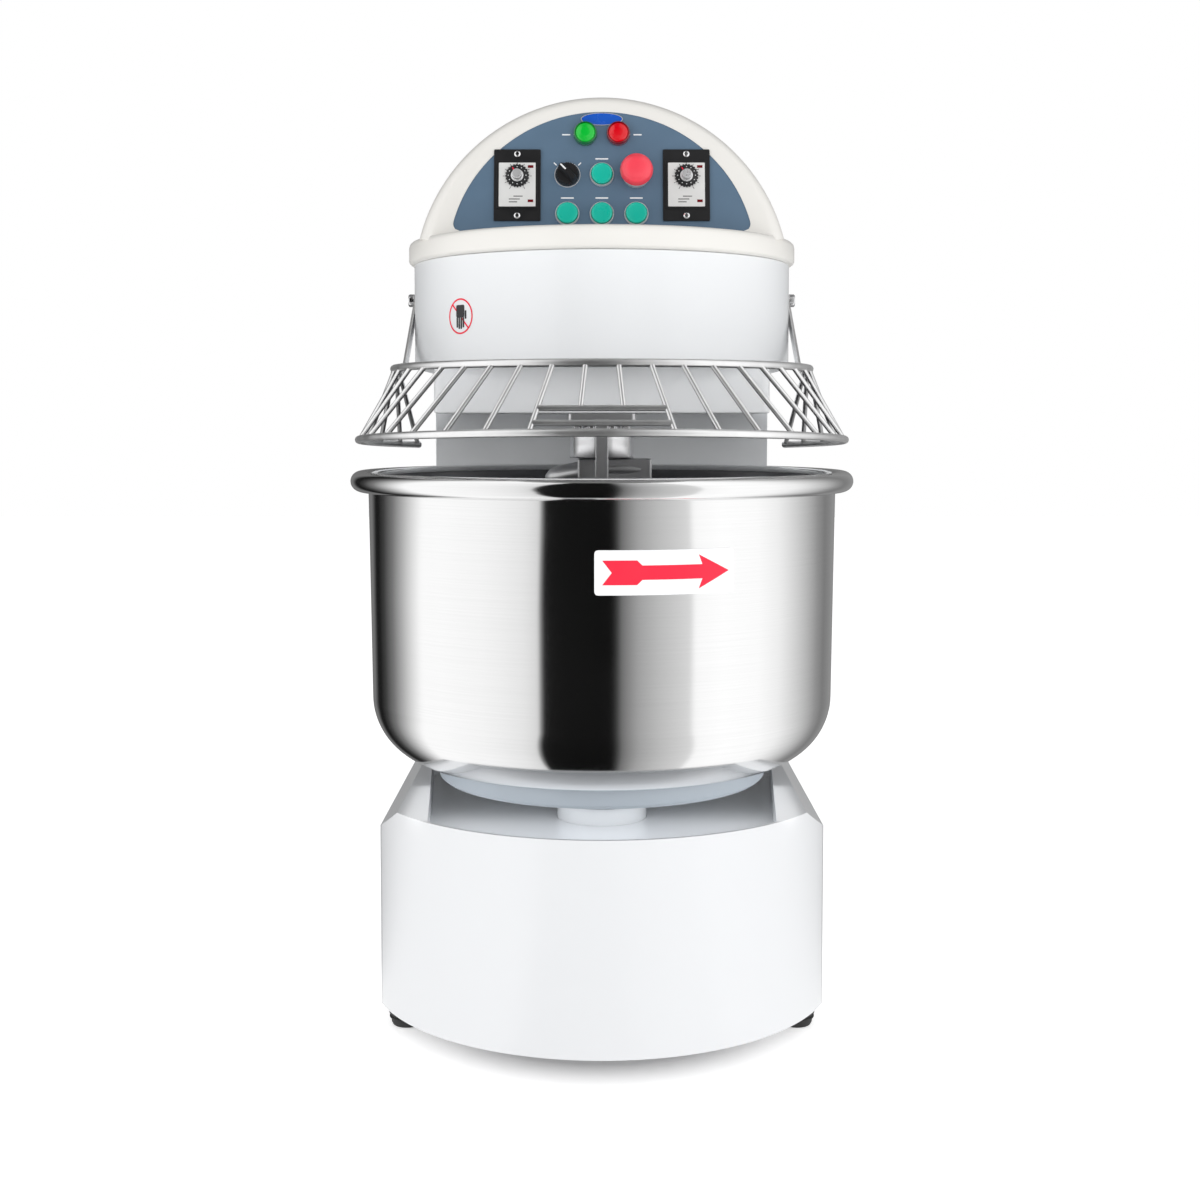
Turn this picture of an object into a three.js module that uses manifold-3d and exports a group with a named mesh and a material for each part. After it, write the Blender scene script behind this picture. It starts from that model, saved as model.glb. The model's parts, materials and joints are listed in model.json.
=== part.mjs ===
// Two-speed spiral dough mixer of the 50 litre class, as an assembly of separate parts.
// Millimetres, +Z up, front towards -Y. The origin is on the floor, under the middle of the bounding box.

import * as THREE from 'three';
import { mergeVertices } from 'three/addons/utils/BufferGeometryUtils.js';
import Module from 'manifold-3d';

const wasm = await Module();
wasm.setup();

// Shared
const GAP = 0.3;              // clearance between parts that touch
const CURVED_GAP = 1;         // the same where two faceted round faces meet
const WALL = 4;               // wall of the painted housings
const PLATE = 3;              // flat closing plates
const BOWL_Y = -165;          // bowl axis
const SPIRAL_Y = BOWL_Y + 127;
const REAR_Y = 420;           // back of the housings
const PASSAGE = { halfWidth: 150, front: 140, back: 400 };   // way for the drive through the column

// Feet and base
const FOOT = { top: 22, bottom: 16, height: 34.7, frontX: 208, frontY: BOWL_Y - 56, rearX: 190, rearY: 375 };
const BASE = { halfWidth: 231, radius: 249, bottom: 35, top: 248, chamfer: 24 };
const DECK_TOP = 212;         // floor of the well that the bowl drive stands in
const WELL_CORNER = Math.PI / 4;

// Column and head
const COLUMN = { halfWidth: 201, radius: 290, top: 703.7 };
const SKIRT = { thickness: 2, top: 262 };
const VENT = { halfLength: 34, halfHeight: 3.5, pitch: 16, rows: 6, x: 70, z: 560 };
const HEAD = { halfWidth: 213.5, radius: 215, centreY: BOWL_Y + 129, bottom: 704, top: 821 };
const LEDGE = { halfWidth: 219.5, radius: 221, bottom: 821.3, top: 846 };
const VAULT = { radius: 205, centreZ: 795, frontY: BOWL_Y + 14, edge: 10 };
const COVER_WALL = 5;
const HOUSING = { halfWidth: 182.5, front: BOWL_Y, bottom: 653 };

// Control panel: it leans back, and its own frame has x to the right, y up the panel and z outwards
const LEAN = THREE.MathUtils.degToRad(10);
const PANEL = { radius: 172, centreV: -28.5, bottomV: 3, recess: 1 };
const COLUMN_PITCH = 37.5;    // spacing of the control columns
const ROW = { lamps: 113, middle: 67.5, bottom: 23.5 };
const BUTTON = { radius: 11.6, clearance: 0.4, height: 8.5, depth: 6, edge: 1.5 };
const BEZEL = { radius: 13.4, height: 5 };
const LAMP = { radius: 11, spacing: 18, height: 11.5 };
const ESTOP = { radius: 18, stem: 8, bezel: 15, bezelHeight: 8, bottom: 14, height: 29.5 };
const SELECTOR = { radius: 13, skirt: 8, height: 16, grip: 6, turn: Math.PI / 4 };
const TIMER = { x: 92, y: 55.5, width: 51, height: 80, depth: 4, dialY: 65.5, ring: 13, knob: 5.5 };

// Bowl and its drive
const BOWL = { bottom: 280, wall: 2.5, floorRadius: 177, fillet: 71, topRadius: 251, rollBottom: 573 };
const ROLL = { outer: 270, section: 10.7, top: 593 };
const CARRIER = { radius: 177, top: 279.7, bottom: 260, hub: 50, collar: 53, collarBottom: 231 };
const BOWL_SHAFT = 20;
const BEARING = { bore: BOWL_SHAFT + 1, bottom: 160, sleeve: 44, flange: 72, flangeBottom: 192 };
const GEARBOX = { halfWidth: 55, ahead: 30, behind: 50, bottom: 55, shaft: 15 };
const CHAIN = { bottom: 140, top: 152, thickness: 6, wheel: 110, sprocket: 40, sprocketY: 70 };

// Spiral, breaker bar and drive
const HOOK = { bar: 13, start: 52, wide: 84, end: 68, turns: 1.25, top: 588, bottom: 308, stub: 58 };
const HOOK_BLOCK = 88;        // length of the square arm under the hub
const HUB = { radius: 37.5, bottom: 602, top: 631, neck: 24, flange: 38, flangeBottom: 639, flangeTop: 644 };
const SPIRAL_SHAFT = 22;
const BREAKER = { width: 14, depth: 24, bottom: 300 };
const BREAKER_FLANGE = { width: 74, depth: 50, thickness: 8, setBack: 14 };
const JACKSHAFT = { y: 165, radius: 15, bottom: 136, top: 795 };
const MOTOR = { y: 322, radius: 85, bottom: 330, top: 560, shaft: 12 };
const LOWER_BELT = { bottom: 160, top: 185, thickness: 8, driven: 90, driver: 30 };
const UPPER_BELT = { bottom: 745, top: 770, thickness: 8, driven: 76, driver: 38 };

// Guard
const GUARD_TOP = { radius: 223.2, z: 700, tube: 4, end: 96 };
const GUARD_RIM = { radius: 261, frontZ: 634, rearZ: 617, tube: 4, end: 124.7 };
const GUARD_BARS = { radius: 2.5, first: 4, pitch: 8, count: 12, spread: 1.27 };
const HANDLE_DROPS = [0.65, 0.86];       // where the handle bars sit along the sloping bars
const PIVOT = { y: BOWL_Y + 150, z: 785, shank: 4, shoulder: 5, head: 7.5, length: 12 };
const ARM = { inner: HEAD.halfWidth + 1.3, thickness: 3, halfWidth: 9, hole: 4.6 };
const GLAND = { x: -150, z: 95, bore: 5, nut: 14, nutTop: 6, cap: 11, capTop: 12, nose: 8, length: 15 };

function paint(color, roughness, metalness = 0) {
  return new THREE.MeshStandardMaterial({ color, roughness, metalness });
}

const WHITE = paint(0xeef0f2, 0.3);
const WARM_WHITE = paint(0xe6e4de, 0.35);
const SLATE = paint(0x6c8093, 0.45);
const STEEL = paint(0xc6c8ca, 0.25, 1);
const CHROME = paint(0xe0e0e2, 0.1, 1);
const CAST = paint(0x6f7276, 0.6, 0.6);
const BLACK = paint(0x151617, 0.6);
const TEAL = paint(0x10b39b, 0.3);
const GREEN = paint(0x00b43c, 0.2);
const RED = paint(0xd2001e, 0.2);

const mixer = new THREE.Group();
const panel = new THREE.Group();
panel.position.set(0, VAULT.frontY, LEDGE.top);
panel.rotation.x = Math.PI / 2 - LEAN;
panel.translateZ(-PANEL.recess);
mixer.add(panel);

// ---- geometry helpers -------------------------------------------------------------------------

function solid(geometry) {
  geometry.deleteAttribute('normal');
  geometry.deleteAttribute('uv');
  const merged = mergeVertices(geometry);
  const corners = merged.index.array;
  const triangles = [];
  for (let i = 0; i < corners.length; i += 3) {
    const [a, b, c] = corners.subarray(i, i + 3);
    if (a !== b && b !== c && c !== a) triangles.push(a, b, c);
  }
  const vertProperties = new Float32Array(merged.attributes.position.array);
  const mesh = new wasm.Mesh({ numProp: 3, vertProperties, triVerts: new Uint32Array(triangles) });
  return new wasm.Manifold(mesh);
}

function addPart(name, shape, material, parent = mixer, x = 0, y = 0, z = 0) {
  const { vertProperties, triVerts } = shape.getMesh();
  const geometry = new THREE.BufferGeometry();
  geometry.setAttribute('position', new THREE.BufferAttribute(vertProperties, 3));
  geometry.setIndex(new THREE.BufferAttribute(triVerts, 1));
  geometry.computeVertexNormals();
  const mesh = new THREE.Mesh(geometry, material);
  mesh.name = name;
  mesh.position.set(x, y, z);
  parent.add(mesh);
}

function extruded(shape, low, high, curveSegments = 6) {
  return new THREE.ExtrudeGeometry(shape, { depth: high - low, bevelEnabled: false, curveSegments })
    .translate(0, 0, low);
}

// A plan outline, extruded upwards
const upright = (shape, low, high, curveSegments) => solid(extruded(shape, low, high, curveSegments));

// A front view in (x, z), extruded towards the back
function frontView(shape, front, back, curveSegments) {
  return solid(extruded(shape, -back, -front, curveSegments).rotateX(Math.PI / 2));
}

// A side view in (y, z), extruded to the right
function sideView(shape, left, right) {
  const axes = new THREE.Matrix4().makeBasis(
    new THREE.Vector3(0, 1, 0), new THREE.Vector3(0, 0, 1), new THREE.Vector3(1, 0, 0));
  return solid(extruded(shape, left, right).applyMatrix4(axes));
}

// A turned part about Z, from a profile of [radius, height] points
function turned(profile, segments = 24) {
  const points = profile.map(([radius, height]) => new THREE.Vector2(radius, height));
  return solid(new THREE.LatheGeometry(points, segments).rotateX(Math.PI / 2));
}

function ring(inner, outer, low, high, segments) {
  return turned([[inner, low], [outer, low], [outer, high], [inner, high], [inner, low]], segments);
}

function disc(radius, low, high, segments) {
  return turned([[0, low], [radius, low], [radius, high], [0, high]], segments);
}

function rectangle(left, right, low, high) {
  const corners = [[left, low], [right, low], [right, high], [left, high]];
  return new THREE.Shape(corners.map(([x, y]) => new THREE.Vector2(x, y)));
}

function tube(curve, radius, steps, sides) {
  const section = new THREE.Shape();
  for (let i = 0; i < sides; i += 1) {
    const angle = (i / sides) * 2 * Math.PI;
    section[i ? 'lineTo' : 'moveTo'](radius * Math.cos(angle), radius * Math.sin(angle));
  }
  return solid(new THREE.ExtrudeGeometry(section, { steps, extrudePath: curve, curveSegments: 1 }));
}

// The outline of a belt round two circles
function beltOutline(ax, ay, aRadius, bx, by, bRadius) {
  const along = Math.atan2(by - ay, bx - ax);
  const wrap = Math.acos((aRadius - bRadius) / Math.hypot(bx - ax, by - ay));
  const outline = new THREE.Shape();
  outline.absarc(bx, by, bRadius, along - wrap, along + wrap, false);
  outline.absarc(ax, ay, aRadius, along + wrap, along - wrap + 2 * Math.PI, false);
  return outline;
}

function circleHole(x, y, radius) {
  return new THREE.Path().absarc(x, y, radius, 0, 2 * Math.PI, false);
}

// Plan of a housing with parallel sides, a straight back and a round front
function roundFrontPlan(part, inset, centreY) {
  const halfWidth = part.halfWidth - inset;
  const radius = part.radius - inset;
  const corner = Math.asin(halfWidth / radius);
  const plan = new THREE.Shape();
  plan.moveTo(halfWidth, REAR_Y - inset);
  plan.lineTo(-halfWidth, REAR_Y - inset);
  plan.absarc(0, centreY, radius, -Math.PI / 2 - corner, -Math.PI / 2 + corner, false);
  return plan;
}

const passage = (low, high) =>
  upright(rectangle(-PASSAGE.halfWidth, PASSAGE.halfWidth, PASSAGE.front, PASSAGE.back), low, high);

// ---- base -------------------------------------------------------------------------------------

// The base's outer form, or its hollow when inset: a round-fronted plan with chamfered shoulders
function baseForm(inset, bottom) {
  const halfWidth = BASE.halfWidth - inset;
  const top = BASE.top - inset;
  const shoulder = top - BASE.chamfer;
  const front = [[-halfWidth, bottom], [halfWidth, bottom], [halfWidth, shoulder],
    [halfWidth - BASE.chamfer, top], [BASE.chamfer - halfWidth, top], [-halfWidth, shoulder]];
  const view = new THREE.Shape(front.map(([x, z]) => new THREE.Vector2(x, z)));
  const plan = upright(roundFrontPlan(BASE, inset, BOWL_Y), bottom, top, 14);
  return plan.intersect(frontView(view, -REAR_Y - WALL, REAR_Y + WALL));
}

// The sunken well round the bowl drive: its cheeks flare from the front lip to the column
function wellForm(grow, floor) {
  const plan = new THREE.Shape();
  const frontRadius = BASE.radius - WALL + grow;
  plan.absarc(0, BOWL_Y, frontRadius, -Math.PI / 2 - WELL_CORNER, -Math.PI / 2 + WELL_CORNER, false);
  plan.absarc(0, BOWL_Y, COLUMN.radius + grow, WELL_CORNER, Math.PI - WELL_CORNER, false);
  return upright(plan, floor, BASE.top + WALL, 10);
}

function addBase() {
  const hollow = baseForm(WALL, BASE.bottom - WALL).subtract(wellForm(WALL, DECK_TOP - WALL));
  const bearingHole = disc(CARRIER.hub, DECK_TOP - 2 * WALL, DECK_TOP + WALL).translate([0, BOWL_Y, 0]);
  const shell = baseForm(0, BASE.bottom).subtract(hollow).subtract(wellForm(0, DECK_TOP))
    .subtract(bearingHole).subtract(passage(DECK_TOP, BASE.top + WALL));
  addPart('base_shell', shell, WHITE);

  const floorPlan = roundFrontPlan(BASE, WALL + GAP, BOWL_Y);
  addPart('base_floor_plate', upright(floorPlan, BASE.bottom, BASE.bottom + PLATE, 14), STEEL);

  const foot = turned([[0, 0], [FOOT.bottom, 0], [FOOT.top, FOOT.height], [0, FOOT.height]], 20);
  for (const [side, sign] of [['left', -1], ['right', 1]]) {
    addPart(`foot_front_${side}`, foot, BLACK, mixer, sign * FOOT.frontX, FOOT.frontY);
    addPart(`foot_rear_${side}`, foot, BLACK, mixer, sign * FOOT.rearX, FOOT.rearY);
  }

  const { bore, nut, nutTop, cap, capTop, nose, length } = GLAND;
  const gland = turned([[bore, GAP], [nut, GAP], [nut, nutTop], [cap, nutTop + 1], [cap, capTop],
    [nose, length], [bore, length], [bore, GAP]], 12).rotate([-90, 0, 0]);
  addPart('cable_gland', gland, BLACK, mixer, GLAND.x, REAR_Y, GLAND.z);
}

// ---- column -----------------------------------------------------------------------------------

function columnForm(halfWidth, radius, back) {
  const corner = Math.acos(halfWidth / radius);
  const plan = new THREE.Shape();
  plan.moveTo(halfWidth, back);
  plan.lineTo(-halfWidth, back);
  plan.absarc(0, BOWL_Y, radius, Math.PI - corner, corner, true);
  return plan;
}

function addColumn() {
  const bottom = BASE.top + GAP;
  const back = REAR_Y - PLATE - GAP;
  const outside = upright(columnForm(COLUMN.halfWidth, COLUMN.radius, back), bottom, COLUMN.top, 8);
  const innerPlan = columnForm(COLUMN.halfWidth - WALL, COLUMN.radius + WALL, REAR_Y);
  const inside = upright(innerPlan, bottom - WALL, COLUMN.top + WALL, 8);
  addPart('column_shell', outside.subtract(inside), WHITE);

  const edge = Math.acos((COLUMN.halfWidth - WALL) / COLUMN.radius);
  const skirt = new THREE.Shape();
  skirt.absarc(0, BOWL_Y, COLUMN.radius - CURVED_GAP, edge, Math.PI - edge, false);
  skirt.absarc(0, BOWL_Y, COLUMN.radius - CURVED_GAP - SKIRT.thickness, Math.PI - edge, edge, true);
  addPart('column_foot_skirt', upright(skirt, DECK_TOP + GAP, SKIRT.top, 8), BLACK);

  const sheet = rectangle(-COLUMN.halfWidth, COLUMN.halfWidth, bottom, COLUMN.top);
  const slots = [];
  for (let row = 0; row < VENT.rows; row += 1) {
    const z = VENT.z + row * VENT.pitch;
    for (const x of [-VENT.x, VENT.x]) {
      const { halfLength, halfHeight } = VENT;
      const slot = rectangle(x - halfLength, x + halfLength, z - halfHeight, z + halfHeight);
      slots.push(frontView(slot, REAR_Y - 2 * PLATE, REAR_Y + PLATE));
    }
  }
  const cover = frontView(sheet, REAR_Y - PLATE, REAR_Y).subtract(wasm.Manifold.union(slots));
  addPart('column_rear_cover', cover, WHITE);
}

// ---- head and top cover -----------------------------------------------------------------------

function addHead() {
  const outside = upright(roundFrontPlan(HEAD, 0, HEAD.centreY), HEAD.bottom, HEAD.top, 12);
  const inside = upright(roundFrontPlan(HEAD, WALL, HEAD.centreY), HEAD.bottom - WALL, HEAD.top + WALL, 12);
  addPart('head_shell', outside.subtract(inside), WHITE);

  const platePlan = roundFrontPlan(HEAD, WALL + GAP, HEAD.centreY);
  const shaftHole = disc(2 * SPIRAL_SHAFT, HEAD.bottom - WALL, HEAD.bottom + WALL)
    .translate([0, SPIRAL_Y, 0]);
  const plate = upright(platePlan, HEAD.bottom, HEAD.bottom + PLATE, 12).subtract(shaftHole)
    .subtract(passage(HEAD.bottom - WALL, HEAD.bottom + WALL));
  addPart('head_underside_plate', plate, WHITE);

  const floorHole = disc(SPIRAL_SHAFT + 2 * WALL, HOUSING.bottom - WALL, HOUSING.bottom + 2 * WALL)
    .translate([0, SPIRAL_Y, 0]);
  const housing = housingForm(0, HOUSING.bottom).subtract(housingForm(WALL, HOUSING.bottom + WALL))
    .subtract(floorHole);
  addPart('spiral_housing', housing, WHITE);
}

// The box under the head that carries the spiral's bearings and the breaker bar
function housingForm(inset, bottom) {
  const halfWidth = HOUSING.halfWidth - inset;
  const radius = COLUMN.radius - CURVED_GAP - inset;
  const corner = Math.acos(halfWidth / radius);
  const plan = new THREE.Shape();
  plan.moveTo(-halfWidth, HOUSING.front + inset);
  plan.lineTo(halfWidth, HOUSING.front + inset);
  plan.absarc(0, BOWL_Y, radius, corner, Math.PI - corner, false);
  return upright(plan, bottom, HEAD.bottom - GAP + inset, 8);
}

// The barrel vault of the top cover, leaning back like the panel, with a softened front edge
function vaultForm(inset) {
  const radius = VAULT.radius - inset;
  const skirtDepth = 2 * VAULT.edge;
  const view = new THREE.Shape();
  view.moveTo(-radius, LEDGE.bottom - 2 * skirtDepth);
  view.lineTo(radius, LEDGE.bottom - 2 * skirtDepth);
  view.absarc(0, VAULT.centreZ, radius, 0, Math.PI, false);
  const length = REAR_Y - VAULT.frontY + VAULT.edge;
  const { edge } = VAULT;
  const bevel = { bevelThickness: edge, bevelSize: edge, bevelOffset: -edge, bevelSegments: 2 };
  const geometry = new THREE.ExtrudeGeometry(view, { depth: length, curveSegments: 14, ...bevel });
  geometry.rotateX(Math.PI / 2).translate(0, VAULT.frontY + VAULT.edge + inset + length, 0);
  const lean = new THREE.Matrix4().makeShear(0, 0, 0, 0, 0, Math.tan(LEAN));
  geometry.translate(0, 0, -LEDGE.top).applyMatrix4(lean).translate(0, 0, LEDGE.top);
  const floor = inset ? LEDGE.bottom - WALL : LEDGE.top - WALL;
  return solid(geometry).trimByPlane([0, 0, 1], floor).trimByPlane([0, -1, 0], inset - REAR_Y);
}

function addTopCover() {
  const ledge = upright(roundFrontPlan(LEDGE, 0, HEAD.centreY), LEDGE.bottom, LEDGE.top, 12);
  const underPlan = roundFrontPlan(LEDGE, 2 * WALL, HEAD.centreY);
  const under = upright(underPlan, LEDGE.bottom - WALL, LEDGE.top - WALL, 12);
  const opening = upright(panelPlan(GAP), -4 * COVER_WALL, COVER_WALL, 12)
    .rotate([90 - THREE.MathUtils.radToDeg(LEAN), 0, 0]).translate([0, VAULT.frontY, LEDGE.top]);
  const cover = ledge.add(vaultForm(0)).subtract(under).subtract(vaultForm(COVER_WALL)).subtract(opening);
  addPart('top_cover', cover, WARM_WHITE);
}

// ---- control panel ----------------------------------------------------------------------------

// A half dome with a straight foot, in the panel's own frame
function panelPlan(grow) {
  const radius = PANEL.radius + grow;
  const corner = Math.asin((PANEL.bottomV - grow - PANEL.centreV) / radius);
  const plan = new THREE.Shape();
  plan.absarc(0, PANEL.centreV, radius, corner, Math.PI - corner, false);
  return plan;
}

function addPanel() {
  const plan = panelPlan(0);
  const buttons = [['start_button', 0, ROW.middle], ['fast_button', -COLUMN_PITCH, ROW.bottom],
    ['slow_button', 0, ROW.bottom], ['inching_button', COLUMN_PITCH, ROW.bottom]];
  const hole = BUTTON.radius + BUTTON.clearance;
  for (const [, x, y] of buttons) plan.holes.push(circleHole(x, y, hole));
  plan.holes.push(circleHole(COLUMN_PITCH, ROW.middle, ESTOP.stem + BUTTON.clearance));
  addPart('control_panel', upright(plan, -PLATE, 0, 12), SLATE, panel);

  const { radius, edge, height, depth } = BUTTON;
  const outer = BEZEL.radius;
  const bezel = turned([[hole, GAP], [outer, GAP], [outer, BEZEL.height - edge],
    [outer - edge / 2, BEZEL.height], [hole, BEZEL.height], [hole, GAP]], 16);
  const cap = turned([[0, -depth], [radius, -depth], [radius, height - edge / 2], [radius - edge, height],
    [0, height]], 16);
  for (const [name, x, y] of buttons) {
    addPart(`${name}_bezel`, bezel, CHROME, panel, x, y);
    addPart(name, cap, TEAL, panel, x, y);
  }
  addLamps(bezel);
  addEmergencyStop();
  addSelector();
  addTimers();
}

function addLamps(bezel) {
  const { radius, height } = LAMP;
  const lens = turned([[0, GAP], [radius, GAP], [radius, height / 2],
    [radius - BUTTON.edge, height - 2 * BUTTON.edge], [radius / 2, height - BUTTON.edge / 2],
    [0, height]], 16);
  for (const [name, sign, material] of [['run_lamp', -1, GREEN], ['power_lamp', 1, RED]]) {
    addPart(`${name}_bezel`, bezel, CHROME, panel, sign * LAMP.spacing, ROW.lamps);
    addPart(`${name}_lens`, lens, material, panel, sign * LAMP.spacing, ROW.lamps);
  }
}

function addEmergencyStop() {
  const { radius, stem, bezel, bezelHeight, bottom, height } = ESTOP;
  const collar = ring(bezel - PLATE, bezel, GAP, bezelHeight, 16);
  addPart('estop_bezel', collar, CHROME, panel, COLUMN_PITCH, ROW.middle);
  const shank = disc(stem, -2 * BUTTON.depth, bottom - GAP, 14);
  addPart('estop_stem', shank, BLACK, panel, COLUMN_PITCH, ROW.middle);
  const cap = turned([[0, bottom], [radius - 2, bottom], [radius, bottom + 2], [radius, height - 9],
    [radius - 3, height - 4], [radius / 2, height - 1], [0, height]], 20);
  addPart('estop_cap', cap, RED, panel, COLUMN_PITCH, ROW.middle);
}

function addSelector() {
  const { radius, skirt, height, grip: gripWidth, turn } = SELECTOR;
  const base = turned([[0, 2 * GAP], [radius, 2 * GAP], [radius, skirt - 3], [radius - 2, skirt],
    [0, skirt]], 16);
  const grip = upright(rectangle(-gripWidth / 2, gripWidth / 2, 1 - radius, radius - 1), skirt / 2, height);
  const knob = base.add(grip).rotate([0, 0, THREE.MathUtils.radToDeg(turn)]);
  addPart('selector_knob', knob, BLACK, panel, -COLUMN_PITCH, ROW.middle);
}

function addTimers() {
  const { width, height, depth, ring: ringRadius, knob: knobRadius } = TIMER;
  const frame = upright(rectangle(-width / 2, width / 2, -height / 2, height / 2), GAP, depth);
  const low = depth + 2 * GAP;
  const knob = turned([[0, low], [ringRadius, low], [ringRadius, low + 2], [knobRadius, low + 3],
    [knobRadius, low + 9], [0, low + 9.6]], 16);
  for (const [side, sign] of [['left', -1], ['right', 1]]) {
    addPart(`timer_${side}_frame`, frame, BLACK, panel, sign * TIMER.x, TIMER.y);
    addPart(`timer_${side}_knob`, knob, STEEL, panel, sign * TIMER.x, TIMER.dialY);
  }
}

// ---- bowl and its drive -----------------------------------------------------------------------

function arcPoints(centreR, centreZ, radius, fromDegrees, toDegrees, steps) {
  const points = [];
  for (let i = 0; i <= steps; i += 1) {
    const angle = THREE.MathUtils.degToRad(fromDegrees + ((toDegrees - fromDegrees) * i) / steps);
    points.push([centreR + radius * Math.cos(angle), centreZ + radius * Math.sin(angle)]);
  }
  return points;
}

function bowlProfile() {
  const { bottom, wall, floorRadius, fillet, topRadius, rollBottom } = BOWL;
  const filletZ = bottom + fillet;
  return [
    [0, bottom],
    ...arcPoints(floorRadius, filletZ, fillet, -90, 0, 4),
    [topRadius, rollBottom],
    ...arcPoints(ROLL.outer - ROLL.section, ROLL.top - ROLL.section, ROLL.section, -120, 180, 5),
    [topRadius - wall, rollBottom],
    ...arcPoints(floorRadius, filletZ, fillet - wall, 0, -90, 4),
    [0, bottom + wall],
  ];
}

function addBowl() {
  addPart('bowl', turned(bowlProfile(), 40), STEEL, mixer, 0, BOWL_Y);

  const { radius, top, bottom, hub, collar, collarBottom } = CARRIER;
  const bore = BOWL_SHAFT + GAP;
  const carrier = turned([[bore, collarBottom], [collar, collarBottom], [collar, collarBottom + 3],
    [hub, collarBottom + 3], [hub, bottom], [radius - 3, bottom], [radius, bottom + 3], [radius, top],
    [bore, top], [bore, collarBottom]], 32);
  addPart('bowl_carrier', carrier, WHITE, mixer, 0, BOWL_Y);
  addPart('bowl_shaft', disc(BOWL_SHAFT, CHAIN.bottom - 10, top - GAP, 16), STEEL, mixer, 0, BOWL_Y);
  addPart('bowl_wheel', ring(bore, CHAIN.wheel, CHAIN.bottom, CHAIN.top, 24), CAST, mixer, 0, BOWL_Y);

  const flangeTop = DECK_TOP - WALL - GAP;
  const housing = turned([[BEARING.bore, BEARING.bottom], [BEARING.sleeve, BEARING.bottom],
    [BEARING.sleeve, BEARING.flangeBottom], [BEARING.flange, BEARING.flangeBottom],
    [BEARING.flange, flangeTop], [hub - 1, flangeTop], [hub - 1, collarBottom - 1],
    [BEARING.bore, collarBottom - 1], [BEARING.bore, BEARING.bottom]], 24);
  addPart('bowl_bearing_housing', housing, WHITE, mixer, 0, BOWL_Y);
}

// A belt or chain loop, standing clear of its faceted wheels
function addBelt(name, frontY, frontRadius, backY, backRadius, belt) {
  const loop = (grow, low, high) =>
    upright(beltOutline(0, frontY, frontRadius + grow, 0, backY, backRadius + grow), low, high, 8);
  const outside = loop(CURVED_GAP + belt.thickness, belt.bottom, belt.top);
  addPart(name, outside.subtract(loop(CURVED_GAP, belt.bottom - 1, belt.top + 1)), BLACK);
}

function addBowlDrive() {
  const { sprocket, sprocketY, bottom, top, wheel } = CHAIN;
  const { halfWidth, ahead, behind, shaft } = GEARBOX;
  const plan = rectangle(-halfWidth, halfWidth, sprocketY - ahead, JACKSHAFT.y + behind);
  addPart('bowl_gearbox', upright(plan, GEARBOX.bottom, JACKSHAFT.bottom - 1), CAST);
  const output = turned([[0, JACKSHAFT.bottom], [shaft, JACKSHAFT.bottom], [shaft, bottom],
    [sprocket, bottom], [sprocket, top], [0, top]], 20);
  addPart('gearbox_sprocket', output, CAST, mixer, 0, sprocketY);
  addBelt('bowl_chain', BOWL_Y, wheel, sprocketY, sprocket, CHAIN);
}

// ---- spiral, breaker bar and drive ------------------------------------------------------------

// The hook's centre line: a stub across the hub, then a helix that widens, runs down and draws in
function hookCurve() {
  const { start, wide, end, turns, top, bottom, stub } = HOOK;
  const points = [new THREE.Vector3(stub, 0, top), new THREE.Vector3(0, 0, top)];
  const steps = 30;
  for (let i = 1; i <= steps; i += 1) {
    const travel = i / steps;
    const angle = Math.PI - travel * turns * 2 * Math.PI;
    const opening = THREE.MathUtils.smoothstep(travel, 0, 0.35);
    const closing = THREE.MathUtils.smoothstep(travel, 0.7, 1);
    const radius = start + (wide - start) * opening - (wide - end) * closing;
    const z = THREE.MathUtils.lerp(top, bottom, travel);
    points.push(new THREE.Vector3(radius * Math.cos(angle), radius * Math.sin(angle), z));
  }
  return new THREE.CatmullRomCurve3(points);
}

function addSpiral() {
  const { bar: size, stub } = HOOK;
  const arm = upright(rectangle(stub - HOOK_BLOCK, stub, -size, size), HOOK.top - size, HOOK.top + size);
  addPart('spiral_hook', tube(hookCurve(), size, 44, 8).add(arm), STEEL, mixer, 0, SPIRAL_Y);

  const { radius, bottom, top, neck, flange, flangeBottom, flangeTop } = HUB;
  const shaft = turned([[0, bottom], [radius, bottom], [radius, top], [neck, top], [neck, flangeBottom],
    [flange, flangeBottom], [flange, flangeTop], [SPIRAL_SHAFT, flangeTop], [SPIRAL_SHAFT, JACKSHAFT.top],
    [0, JACKSHAFT.top]], 24);
  addPart('spiral_shaft', shaft, STEEL, mixer, 0, SPIRAL_Y);
  const cover = ring(SPIRAL_SHAFT + WALL, flange + 1, flangeTop + 1, HOUSING.bottom - GAP, 24);
  addPart('spiral_bearing_cover', cover, STEEL, mixer, 0, SPIRAL_Y);
  const pulley = ring(SPIRAL_SHAFT + GAP, UPPER_BELT.driven, UPPER_BELT.bottom, UPPER_BELT.top, 24);
  addPart('spiral_pulley', pulley, CAST, mixer, 0, SPIRAL_Y);
}

function addBreakerBar() {
  const top = HOUSING.bottom - GAP;
  const barPlan = rectangle(-BREAKER.width / 2, BREAKER.width / 2, BOWL_Y, BOWL_Y + BREAKER.depth);
  const { width, depth, thickness, setBack } = BREAKER_FLANGE;
  const middle = BOWL_Y + BREAKER.depth / 2 + setBack;
  const flangePlan = rectangle(-width / 2, width / 2, middle - depth / 2, middle + depth / 2);
  const bar = upright(barPlan, BREAKER.bottom, top - 1);
  addPart('breaker_bar', bar.add(upright(flangePlan, top - thickness, top)), STEEL);
}

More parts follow.
